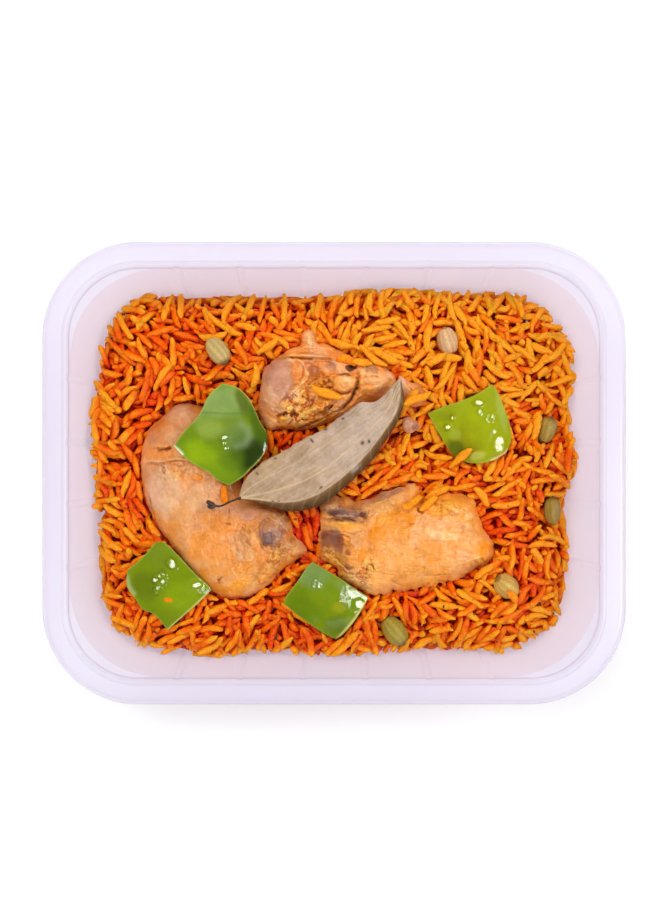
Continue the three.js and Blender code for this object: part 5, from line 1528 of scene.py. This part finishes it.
# places along the wall where the rice stands higher or lower, and by how much
EDGE_SWELLS = [
    (-65, 74, -5), (-50, 76, -8), (-30, 76, -9), (-12, 76, -7), (10, 76, 2), (24, 76, 6), (48, 76, 2),
    (62, 76, -1.5), (-51, -75, 7), (-27, -75, 3), (-2, -75, 7), (14, -75, 3), (40, -75, -1),
    (60, -75, -1), (-92, 45, -5), (-99, 28, 4), (-99, 14, 7), (-99, 0, 2), (-99, -22, -3),
    (-99, -38, -3), (-97, -48, -3), (99, 39, 4), (99, 26, -3), (99, 14, 3), (99, 1, 6), (99, -13, -8),
    (99, -36, -3), (99, -48, -3),
]
SWELL_REACH = 8.0

# grains on the toppings: place, direction in degrees, length
LOOSE = [
    (-3.0, 31.7, -23, 13.5), (5.0, 45.0, -14, 8.5), (11.4, 44.0, -5, 8.0), (15.4, 46.4, -38, 14.0),
    (-43.7, -8.8, 92, 8.0), (50.6, 5.8, 43, 11.5), (30.0, 28.4, 62, 11.5), (33.4, 29.6, 24, 13.0),
    (21.0, 46.6, -30, 11.0), (-26.5, 50.6, 35, 10.0), (42.0, -8.2, 24, 12.0), (38.0, -12.4, 40, 9.5),
    (2.8, 51.6, -12, 11.0), (-31.6, 38.6, 80, 10.5), (60.4, -39.6, 36, 10.0), (31.5, -12.0, 28, 9.5),
    (82.2, 18.1, 72, 10.5), (71.8, -49.8, -56, 7.0), (41.5, 45.4, 35, 9.0),
]
LOOSE_WIDTH, LOOSE_THICK, LOOSE_SINK = 3.1, 2.5, 0.45

# where the rice is paler or darker: place, reach and change of tone. The darker places beside the toppings
# and pods are painted shade.
TONE_AND_SHADE_PLACES = [
    (8, 8, 14, 0.18), (5, 62, 26, 0.1), (36, 6, 18, 0.1), (-20, -66, 30, -0.1), (-88, 8, 16, -0.04),
    (-79, 22, 7, -0.22), (-79, 4, 8, -0.27), (-79, -12, 7, -0.2), (-11, -22, 7, -0.45), (-69, 29, 9, -0.2),
    (-50, 39, 6, -0.18), (-65, 58, 9, -0.15), (-93, 29, 6, 0.2), (-93, -35, 7, 0.2), (-41, 67, 8, 0.2),
    (22, 58, 9, 0.18), (26, 43, 8, -0.15), (84, -57, 7, 0.22), (84, 0, 6, 0.2), (64, -8, 7, 0.14),
    (74, -48, 7, -0.25), (-37, -57, 7, -0.2), (-69, -67, 6, -0.2), (55, 57, 8, -0.12), (69, 10, 6, -0.15),
    (-10, -36, 5, -0.4), (67, -22, 6, -0.3), (-24, 14, 5, -0.35), (6, -50, 5, -0.25), (27, -52, 6, -0.25),
    (-14, 13, 6, -0.15),
]


def rice_top(x, y):
    """The height that the grains are piled to."""
    z = heap(x, y)
    for cx, cy, lift in EDGE_SWELLS:
        z = z + lift * np.exp(-((x - cx) ** 2 + (y - cy) ** 2) / (2 * SWELL_REACH**2))
    p = xyz(x, y)
    hollows = smooth((noise(p, 6.5, 52) - 0.16) / 0.3)
    return z + (0.9 * noise(p, 14, 50) + 0.5 * noise(p, 6, 51) - 2.4 * hollows).reshape(np.shape(x))


def cell_of(x, y):
    """The column and row of the maps at a place."""
    ix = np.clip(((np.asarray(x) - GX[0]) / CELL + 0.5).astype(int), 0, len(GX) - 1)
    iy = np.clip(((np.asarray(y) - GY[0]) / CELL + 0.5).astype(int), 0, len(GY) - 1)
    return ix, iy


def topping_maps():
    """Over the rice: the height that grains may not pass, the toppings' tops, and where rice is hidden."""
    x, y = np.meshgrid(GX, GY)
    roof, crest = np.full(x.shape, OPEN), np.full(x.shape, -OPEN)
    hidden = np.zeros(x.shape, bool)
    for cut in CUTS:
        low, high = cut.outline.min(0) - 1, cut.outline.max(0) + 1
        part = (x > low[0]) & (x < high[0]) & (y > low[1]) & (y < high[1])
        px, py = x[part], y[part]
        d = cut.depth(px, py)
        top = cut.surface(np.maximum(d, 0), cut.marks(px, py)[0])
        inside = d > 0
        lid = np.where(d < 0.8, cut.middle + 1, top - 0.5)
        roof[part] = np.where(inside, np.minimum(roof[part], lid), roof[part])
        crest[part] = np.where(inside, np.maximum(crest[part], top), crest[part])
        hidden[part] |= d > 4.5
    for pepper in PEPPERS:
        sheet, u, v = pepper_sheet(pepper)
        p = sheet.reshape(-1, 3)
        ix, iy = cell_of(p[:, 0], p[:, 1])
        np.minimum.at(roof, (iy, ix), p[:, 2] - 1.6)
        np.maximum.at(crest, (iy, ix), p[:, 2])
        core = (np.minimum(np.minimum(u, 1 - u), np.minimum(v, 1 - v)) > 0.3).ravel()
        hidden[iy[core], ix[core]] = True
    steps = 60
    reach = 0.9 * leaf_reach(np.linspace(0, 1, steps), LEAF_LOWER)
    for (px, py, pz), r in zip(open_curve(LEAF_SPINE, steps), reach):
        near = np.hypot(x - px, y - py) < r
        roof[near] = np.minimum(roof[near], pz - 4.5)
    for pod in PODS:
        cx, cy = pod["at"]
        u, w = turned(x - cx, y - cy, pod["turn"])
        r = (u / (pod["length"] / 2 - 0.4)) ** 2 + (w / (pod["width"] / 2 - 0.4)) ** 2
        lean = math.tan(math.radians(pod["lean"]))
        z = float(heap(cx, cy)) + POD_LIFT + lean * u + np.sqrt(np.clip(1 - r, 0, 1)) * pod["width"] / 2
        roof = np.where(r < 1.0, np.minimum(roof, z - 1.6), roof)
        crest = np.where(r < 1.0, np.maximum(crest, z), crest)
    return roof, crest, hidden


# a grain's footprint: places along it, places across it, and its width along it, as shares of its size
ALONG = np.linspace(-1, 1, 15)
ACROSS = np.array([-0.75, -0.4, 0.0, 0.4, 0.75])
PROFILE = np.clip(1 - np.abs(ALONG * 0.97) ** 5, 0, 1) ** 0.5
LEFT, RIGHT = np.where(ALONG < -0.1)[0], np.where(ALONG > 0.1)[0]
MIDDLE = 7, 2
WALL_CHECKS = [0, 2, 7, 12, 14]


def rice_size():
    """Length, width and thickness of a grain, one in ten of them a broken one."""
    length = float(np.clip(rng.normal(11.2, 1.6), 7.0, 15.0))
    if rng.random() < 0.1:
        length = rng.uniform(3.5, 6.5)
    return length, rng.uniform(2.35, 3.2), rng.uniform(2.0, 2.65)


def lie(x, y):
    """The direction that grains tend to take at a place, so that neighbours lie alike."""
    return 2.4 * math.sin(x / 21 + 1.9 * math.sin(y / 27)) + 1.9 * math.sin(y / 17 + x / 37)


class Pile:
    """Grains that are dropped one by one on to a map of heights."""

    def __init__(self, target, start, roof):
        self.target, self.height, self.roof = target, start, roof
        self.grains, self.bits = [], []

    def settle(self, x, y, yaw, size, slope=None, sink=SINK, z=None):
        """Where a grain comes to rest: its middle's height, slope, cells and their new heights, or None."""
        length, width, thick = size
        c, s = math.cos(yaw), math.sin(yaw)
        u = ALONG[:, None] * length / 2
        w = PROFILE[:, None] * ACROSS[None] * width / 2
        px, py = x + u * c - w * s, y + u * s + w * c
        ix, iy = cell_of(px, py)
        under = thick / 2 * PROFILE[:, None] * np.sqrt(1 - ACROSS**2)[None]
        u = ALONG * length / 2
        if slope is None:
            z, slope = self.bridge((self.height[iy, ix] + under).max(1), u)
            z -= sink
        elif z is None:
            z = float(self.target[iy[MIDDLE], ix[MIDDLE]]) + 1.0 - abs(slope) * length * 0.3
        line = (z + slope * u)[:, None]
        top = line + under
        if (top > self.roof[iy, ix]).any():
            return None
        ends = WALL_CHECKS
        if (wall_distance(px[ends], py[ends], np.minimum(line[ends], 40)) < 0.3).any():
            return None
        return z, slope, ix, iy, top

    def bridge(self, need, u):
        """Height of the middle and slope of a grain that rests on the two points which hold it highest."""
        ul, ur, nl, nr = u[LEFT][:, None], u[RIGHT][None], need[LEFT][:, None], need[RIGHT][None]
        chord = (nl * ur - nr * ul) / (ur - ul)
        i, j = divmod(int(chord.argmax()), chord.shape[1])
        slope = (nr[0, j] - nl[i, 0]) / (ur[0, j] - ul[i, 0])
        return float(chord[i, j]), float(np.clip(slope, -STEEPEST, STEEPEST))

    def add(self, group, x, y, yaw, size, found):
        """Lays a grain and raises the map."""
        z, slope, ix, iy, top = found
        np.maximum.at(self.height, (iy, ix), top)
        length, width, thick = size
        group.append((x, y, z, yaw, math.atan(slope), length * math.sqrt(1 + slope * slope), width, thick))

    def add_best(self, places, size, tilt_cost, limit):
        """Lays a grain at the lowest of several places (x, y, yaw), if that isn't too high."""
        best = None
        for x, y, yaw in places:
            found = self.settle(x, y, yaw, size)
            if found is None:
                continue
            cx, cy = cell_of(x, y)
            score = found[0] - self.target[cy, cx] + tilt_cost * abs(found[1])
            if best is None or score < best[0]:
                best = (score, x, y, yaw, found)
        if best is not None and best[0] < limit:
            self.add(self.grains, *best[1:4], size, best[4])


def pile_rice():
    """The whole heap: layers, the edge along the wall, steep grains and broken bits."""
    roof, crest, hidden = topping_maps()
    x, y = np.meshgrid(GX, GY)
    target = rice_top(x, y)
    pile = Pile(target, target - PILE_DEPTH, roof)
    inside = (wall_distance(x, y, 22.0) > 1.2) & ~hidden
    add_layers(pile, inside)
    add_fringe(pile)
    add_leaning(pile)
    add_steep(pile, hidden, STEEP)
    add_crumbs(pile, inside, CRUMBS)
    pile.crest = np.maximum(crest, pile.height)
    # the heap's mean level, under which the grains are painted darker as painted shade
    pile.level = blurred(pile.height, 5)
    return pile


def add_layers(pile, inside):
    """Grains that fill the heap up to its final height, most of them where most is missing."""
    x, y = np.meshgrid(GX, GY)
    tries = 7
    for _ in range(ROUNDS):
        want = np.clip(np.minimum(pile.target, pile.roof - 1.0) - pile.height + 0.2, 0, None) ** 2 * inside
        total = np.cumsum(want.ravel())
        if total[-1] < 1:
            break
        picks = np.searchsorted(total, rng.uniform(0, total[-1], GRAINS_A_ROUND * tries))
        places = np.stack([x.ravel()[picks], y.ravel()[picks]], 1) + rng.uniform(-1.5, 1.5, (len(picks), 2))
        for group in places.reshape(GRAINS_A_ROUND, tries, 2):
            size = rice_size()
            pile.add_best([(px, py, lie(px, py) + rng.normal(0, 0.6)) for px, py in group], size, 0.7, 1.2)


def blurred(grid, cells):
    """The mean of a grid over a square of cells round each one."""
    total = np.zeros_like(grid)
    padded = np.pad(grid, cells, "edge")
    size = 2 * cells + 1
    for j, i in np.ndindex(size, size):
        total += padded[j:j + grid.shape[0], i:i + grid.shape[1]]
    return total / size**2


def wall_place(s, z, gap):
    """A place along the wall, s from 0 to 1 and a gap in from it, the way it faces and if it curves there."""
    inset, radius = float(cavity_inset(np.array(z))) + gap, float(cavity_radius(np.array(z))) - gap
    hx, hy = LENGTH / 2 - inset, WIDTH / 2 - inset
    runs = [2 * (hy - radius), 2 * (hx - radius)] * 2
    arc = radius * math.pi / 2
    s = s * (sum(runs) + 4 * arc)
    for side, run in enumerate(runs):
        reach, across = (hx, hy) if side % 2 == 0 else (hy, hx)
        if s < run:
            lx, ly, angle = reach, s - run / 2, 0.0
            break
        s -= run
        if s < arc:
            angle = s / radius
            lx, ly = reach - radius + radius * math.cos(angle), across - radius + radius * math.sin(angle)
            break
        s -= arc
    turn = side * math.pi / 2
    c, sn = math.cos(turn), math.sin(turn)
    return lx * c - ly * sn, lx * sn + ly * c, angle + turn, angle > 0


def add_fringe(pile):
    """Grains round the edge whose ends reach out to the wall by uneven amounts."""
    for k in range(FRINGE):
        gap = 0.35 + 2.2 * rng.random() ** 1.5
        ex, ey, facing, _ = wall_place((k + rng.random()) / FRINGE_STEPS, 21.0, gap)
        size = rice_size()
        turns = [facing + rng.normal(0, 0.75) for _ in range(5)]
        places = [(ex - math.cos(t) * size[0] / 2, ey - math.sin(t) * size[0] / 2, t) for t in turns]
        pile.add_best(places, size, 0.0, 2.2)


def add_leaning(pile):
    """Grains that lean on the wall, their outer ends higher up on it than the heap."""
    for k in range(LEANING):
        size = rice_size()
        ex, ey, facing, _ = wall_place((k + rng.random()) / LEANING, 23.0, 0.6)
        yaw = facing + rng.normal(0, 0.7)
        c, s = math.cos(yaw), math.sin(yaw)
        x, y = ex - c * size[0] / 2, ey - s * size[0] / 2
        inner = cell_of(x - c * size[0] * 0.4, y - s * size[0] * 0.4)
        foot = float(pile.height[inner[1], inner[0]]) + size[2] / 2 - SINK
        end = float(rice_top(np.array(ex), np.array(ey))) + rng.uniform(0.5, 4.5)
        slope = (end - foot) / (size[0] * 0.9)
        if abs(slope) > 1.2:
            continue
        found = pile.settle(x, y, yaw, size, slope=slope, z=(end + foot) / 2)
        if found is not None:
            pile.add(pile.grains, x, y, yaw, size, found)


def add_crumbs(pile, inside, count):
    """Broken bits between the grains, more of them to the lower right."""
    open_cells = np.flatnonzero(inside & (pile.roof > 90))
    for _ in range(count * 6):
        if count == 0:
            return
        row, column = divmod(int(rng.choice(open_cells)), inside.shape[1])
        x, y = GX[column], GY[row]
        if rng.random() > 0.35 + 0.65 * smooth((x - y + 20) / 120):
            continue
        size = (rng.uniform(2.2, 4.6), rng.uniform(1.9, 2.6), rng.uniform(1.7, 2.2))
        yaw = rng.uniform(0, math.pi)
        found = pile.settle(x, y, yaw, size, sink=0.5)
        if found is None or found[0] > pile.target[row, column] + 1.0:
            continue
        pile.add(pile.bits, x, y, yaw, size, found)
        count -= 1


def add_steep(pile, hidden, count):
    """Grains that stand up out of the heap, their lower ends buried in it."""
    for _ in range(count * 12):
        if count == 0:
            return
        x, y = rng.uniform(-96, 96), rng.uniform(-72, 72)
        cx, cy = cell_of(x, y)
        if hidden[cy, cx]:
            continue
        pitch = rng.uniform(0.4, 1.1) * rng.choice([-1, 1])
        length, width, thick = rice_size()
        size = (length * math.cos(pitch), width, thick)
        yaw = rng.uniform(0, 2 * math.pi)
        found = pile.settle(x, y, yaw, size, slope=math.tan(pitch))
        if found is None:
            continue
        pile.add(pile.bits, x, y, yaw, size, found)
        count -= 1


def side_grains():
    """Grains that lie against the tray's wall and fillet, seen through the plastic."""
    grains = []
    for _ in range(SIDE_GRAINS):
        z = 2.6 + 15.4 * rng.random() ** 0.8
        gap = 1.6 + rng.uniform(0, 0.2) * max(0, z - 6)
        x, y, facing, curved = wall_place(rng.random(), z, gap)
        pitch = rng.normal(0, 0.5)
        length = rng.uniform(8, 12.5)
        if curved:
            bow = (length / 2 * math.cos(pitch)) ** 2 / 60
            x, y = x - math.cos(facing) * bow, y - math.sin(facing) * bow
        rise = abs(math.sin(pitch)) * length / 2
        brim = min(18.0, float(rice_top(np.array(x), np.array(y))) - 1.5)
        if z + rise > brim or z - rise < 2.3:
            pitch *= 0.2
        z = min(z, brim - 1.5)
        yaw = facing + math.pi / 2 + rng.normal(0, 0.06)
        grains.append((x, y, z, yaw, pitch, length, rng.uniform(2.6, 3.3), rng.uniform(2.2, 2.7)))
    return grains


def loose_grains(pile):
    """The grains that lie on the toppings."""
    ground = Pile(pile.crest, pile.crest.copy(), np.full(pile.crest.shape, OPEN))
    for x, y, turn, length in LOOSE:
        yaw, size = math.radians(turn), (length, LOOSE_WIDTH, LOOSE_THICK)
        found = ground.settle(x, y, yaw, size, sink=LOOSE_SINK)
        if found is not None:
            ground.add(ground.grains, x, y, yaw, size, found)
    return ground.grains


def held_in(verts):
    """Points that went far into the tray's wall, pressed back to just inside its surface."""
    x, y, z = verts.T
    deep = np.maximum(0, -INTO_WALL - wall_distance(x, y, z))
    step = 0.1
    across = (wall_distance(x + step, y, z) - wall_distance(x - step, y, z)) / (2 * step)
    along = (wall_distance(x, y + step, z) - wall_distance(x, y - step, z)) / (2 * step)
    return verts + np.stack([across * deep, along * deep, np.zeros(len(verts))], 1)


def grain_points(g, local, around, steps):
    """Points of every grain, a row for each: rings along it and its two tips. No two grains are alike."""
    count = len(g)
    x, y, z, yaw, pitch, length, width, thick = g.T
    s = -np.cos(np.linspace(0, math.pi, steps + 2))[1:-1]
    s = np.sign(s) * np.abs(s) ** 0.85
    angle = np.linspace(0, 2 * math.pi, around, endpoint=False)
    roll = local.uniform(-0.6, 0.6, count)
    wild = local.uniform(-1, 1, (count, 6))
    blunt = local.uniform(2.0, 4.2, count)
    body = np.clip(1 - np.abs(s)[None] ** blunt[:, None], 0, 1) ** 0.5
    uneven = 0.08 * wild[:, 1:2] * np.cos(3.2 * s + wild[:, 2:3] * 3)
    body = body * (1 + 0.12 * wild[:, :1] * s[None] + uneven)
    swing = np.abs(s[None]) ** 2 - 0.3
    bend = local.normal(0, 0.075, count)[:, None] * swing * length[:, None]
    bend = bend + 0.02 * wild[:, 3:4] * np.sin(3 * s)[None] * length[:, None]
    lift = local.normal(0.0, 0.03, count)[:, None] * swing * length[:, None]
    a = np.stack([np.cos(yaw) * np.cos(pitch), np.sin(yaw) * np.cos(pitch), np.sin(pitch)], 1)
    b = np.stack([-np.sin(yaw), np.cos(yaw), np.zeros(count)], 1)
    c = np.cross(a, b)
    cr, sr = np.cos(roll)[:, None], np.sin(roll)[:, None]
    b, c = b * cr + c * sr, c * cr - b * sr
    centre = np.stack([x, y, z], 1)
    axis = centre[:, None] + a[:, None] * (s[None, :, None] * length[:, None, None] / 2)
    axis = axis + b[:, None] * bend[..., None] + c[:, None] * lift[..., None]
    square = 1 + 0.07 * np.cos(2 * angle[None] + wild[:, 4:5] * 3)
    rw = body[:, :, None] * (width / 2)[:, None, None] * (np.cos(angle)[None] * square)[:, None, :]
    rh = body[:, :, None] * (thick / 2)[:, None, None] * (np.sin(angle)[None] * square)[:, None, :]
    ends = np.sign(s) * smooth((np.abs(s) - 0.55) / 0.45)
    cut = 0.55 * wild[:, 5][:, None, None] * ends[None, :, None] * rw
    p = axis[:, :, None] + b[:, None, None] * rw[..., None] + c[:, None, None] * rh[..., None]
    p = p + a[:, None, None] * cut[..., None]
    p = p.reshape(count, steps * around, 3)
    reach = a * (length / 2)[:, None]
    tips = np.stack([centre - reach, centre + reach], 1)
    tips = tips + b[:, None] * bend[:, [0, -1], None] + c[:, None] * lift[:, [0, -1], None]
    return np.concatenate([p, tips], 1)


def grain_tones(x, y, local, mean):
    """The tone of each grain: 0 dark red to 1 pale orange."""
    p = xyz(x, y)
    tone = mean + local.normal(0, 0.1, len(x)) + 0.1 * fbm(p, 26, 2, 44) + 0.08 * noise(p, 8, 46)
    tone = tone + 0.2 * smooth((x + 10) / 60) * smooth((y + 10) / 60)
    for cx, cy, reach, more in TONE_AND_SHADE_PLACES:
        tone = tone + more * np.exp(-((x - cx) ** 2 + (y - cy) ** 2) / reach**2)
    return tone


def make_grains(name, grains, material, level=None, around=8, steps=10, mean=0.65):
    """One piece of many grains. Those that lie deep under the heap's level are painted darker, as painted
    shade.
    """
    g = np.array(grains, float)
    local = np.random.default_rng(len(g))
    p = grain_points(g, local, around, steps)
    size = p.shape[1]
    quads, fans = ring_faces(steps, around)
    offset = (np.arange(len(g)) * size)[:, None, None]
    faces = [(quads[None] + offset).reshape(-1, 4), (fans[None] + offset).reshape(-1, 3)]
    verts = p.reshape(-1, 3)
    verts = verts + 0.22 * np.stack([noise(verts, 1.4, k) for k in (34, 35, 36)], 1)
    verts = verts + 0.42 * np.stack([noise(verts, 3.2, k) for k in (37, 38, 39)], 1)
    verts = held_in(verts)
    tone = np.repeat(grain_tones(g[:, 0], g[:, 1], local, mean), size)
    if level is not None:
        ix, iy = cell_of(verts[:, 0], verts[:, 1])
        # painted shade: the deeper a point lies under the heap's level, the darker its tone
        shade_depth = level[iy, ix] + 0.3 - verts[:, 2]
        tone = tone - np.where(shade_depth > 0, 0.2 * shade_depth, 0.13 * shade_depth)
    return make(name, verts, faces, material, ["rice"], values={"tone": np.clip(tone, 0, 1)})


CORE_POINTS, CORE_SQUARENESS = 220, 5.0
CORE_GAP, CORE_UNDER = 3.0, 4.2  # how far inside the wall and under the grains' surface the core ends
CORE_FOOT, CORE_BRIM, CORE_LEAST = 2.6, 15.0, 6.0  # heights of its underside, its edge and its lowest top
CORE_LEVELS = (2.6, 3.0, 4.0, 6.0, 9.0, 13.0, 15.0)
CORE_STEPS = 60


def make_core(material):
    """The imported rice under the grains, as one rounded block."""
    angle = np.linspace(0, 2 * math.pi, CORE_POINTS, endpoint=False)
    d = np.stack([np.cos(angle), np.sin(angle)], 1)

    def ring(z):
        inset = cavity_inset(z) + CORE_GAP
        hx, hy = LENGTH / 2 - inset, WIDTH / 2 - inset
        power = CORE_SQUARENESS
        r = (np.abs(d[:, 0] / hx) ** power + np.abs(d[:, 1] / hy) ** power) ** (-1 / power)
        return np.c_[d * r[:, None], z]

    edge = ring(np.full(CORE_POINTS, CORE_BRIM))
    brim = np.clip(rice_top(edge[:, 0], edge[:, 1]) - CORE_UNDER, CORE_LEAST, CORE_BRIM)
    rings = [ring(CORE_FOOT + (z - CORE_FOOT) * (brim - CORE_FOOT) / 12.4) for z in CORE_LEVELS]
    for t in np.linspace(0, 1, CORE_STEPS, endpoint=False)[1:]:
        r = ring(brim)
        r[:, :2] *= 1 - t
        r[:, 2] = np.maximum(rice_top(r[:, 0], r[:, 1]) - CORE_UNDER, CORE_LEAST)
        r[:, 2] += 0.6 * noise(r * (1, 1, 0), 3, 4)
        rings.append(r)
    top = float(rice_top(0.0, 0.0)) - CORE_UNDER
    verts = np.vstack(rings + [np.array([[0, 0, CORE_FOOT], [0, 0, top]])])
    return make("rice_heart", verts, ring_faces(len(rings), CORE_POINTS), material, ["rice"])


FLECKS, FLECK_POINTS = 80, 7


def make_flecks(pile, material):
    """Bits of herb and pepper on the rice."""
    verts, quads, fans = [], [], []
    local = np.random.default_rng(77)
    n = FLECK_POINTS
    a = np.linspace(0, 2 * math.pi, n, endpoint=False)
    while len(verts) < FLECKS:
        x, y = local.uniform(-94, 94), local.uniform(-70, 70)
        cx, cy = cell_of(x, y)
        if pile.roof[cy, cx] < 90 or wall_distance(x, y, 24.0) < 2:
            continue
        r = local.uniform(0.2, 0.55)
        z = pile.height[cy, cx] - 0.05
        turn = local.uniform(0, 6.3)
        u = r * local.uniform(1, 2.4) * np.cos(a) * local.uniform(0.7, 1.2, n)
        w = r * np.sin(a) * local.uniform(0.7, 1.2, n)
        c, s = math.cos(turn), math.sin(turn)
        ring = np.stack([x + u * c - w * s, y + u * s + w * c, np.full(n, z)], 1)
        base = len(verts) * (2 * n + 2)
        ends = [[x, y, z - 0.3], [x, y, z + 0.28]]
        verts.append(np.vstack([ring - (0, 0, 0.2), ring + (0, 0, 0.12), ends]))
        q, f = ring_faces(2, n)
        quads.append(q + base)
        fans.append(f + base)
    faces = [np.vstack(quads), np.vstack(fans)]
    return make("herb_flecks", np.vstack(verts), faces, material)


# ---------------------------------------------------------------- build

make_tray()
for index, cut in enumerate(CUTS):
    cut.build(meat_material(f"meat_{index + 1}"))
skin = pepper_material()
for index, pepper in enumerate(PEPPERS):
    make_pepper(pepper, index, skin)
make_leaf(leaf_material())
make_stalk(stalk_material())
husk = pod_material()
for index, pod in enumerate(PODS):
    make_pod(pod, index, husk)

make_core(core_material())
pile = pile_rice()
grain = rice_material()
share = math.ceil(len(pile.grains) / 3)
for k, name in enumerate(("rice_lower", "rice_middle", "rice_upper")):
    make_grains(name, pile.grains[k * share:(k + 1) * share], grain, pile.level)
make_grains("rice_bits", pile.bits, grain, pile.level)
make_grains("rice_sides", side_grains(), grain, steps=7)
make_grains("rice_loose", loose_grains(pile), grain, around=12, steps=14, mean=0.95)
make_flecks(pile, fleck_material())


# ---------------------------------------------------------------- floor, lights and camera

bpy.ops.mesh.primitive_plane_add(size=6)
floor = bpy.context.object
floor.name = "pale_floor"
floor.data.materials.append(floor_material())

world = bpy.data.worlds.new("studio")
bpy.context.scene.world = world
world.use_nodes = True
background = world.node_tree.nodes["Background"]
background.inputs["Color"].default_value = (0.96, 0.97, 1.0, 1)
background.inputs["Strength"].default_value = 0.42

# softboxes: name, place, size, energy, colour, if they light rough surfaces, and if they shine in glossy ones
SOFTBOXES = [
    ("key", (-0.65, 0.9, 2.0), 1.1, 25.0, (1.0, 0.985, 0.96), True, False),
    ("spark", (1.15, -0.2, 2.0), 0.6, 60.0, (1, 1, 1), False, True),
    ("left", (-1.9, -0.3, 1.6), 1.4, 7.5, (1, 1, 1), True, False),
    ("right", (1.9, 0.6, 1.7), 1.4, 24.0, (1, 1, 1), True, False),
    ("front", (0.3, -1.9, 1.7), 1.4, 15.0, (1, 1, 1), True, True),
]
AIM = Vector((0, 0, 0.03))
for name, place, size, energy, colour, lights, shines in SOFTBOXES:
    data = bpy.data.lights.new(name, "AREA")
    data.shape = "RECTANGLE"
    data.size = data.size_y = size
    data.energy = energy
    data.color = colour
    lamp = bpy.data.objects.new(name, data)
    lamp.location = place
    lamp.rotation_euler = (AIM - lamp.location).to_track_quat("-Z", "Y").to_euler()
    lamp.visible_diffuse, lamp.visible_glossy = lights, shines
    bpy.context.collection.objects.link(lamp)

camera_data = bpy.data.cameras.new("camera")
camera_data.sensor_width = 36
camera_data.lens = 46.47
camera_data.clip_start, camera_data.clip_end = 0.01, 10
camera = bpy.data.objects.new("camera", camera_data)
camera.location = (-0.00155, 0.0090, 0.5)
camera.rotation_euler = (0, 0, 0)
bpy.context.collection.objects.link(camera)
bpy.context.scene.camera = camera
bpy.context.scene.view_settings.view_transform = "Standard"
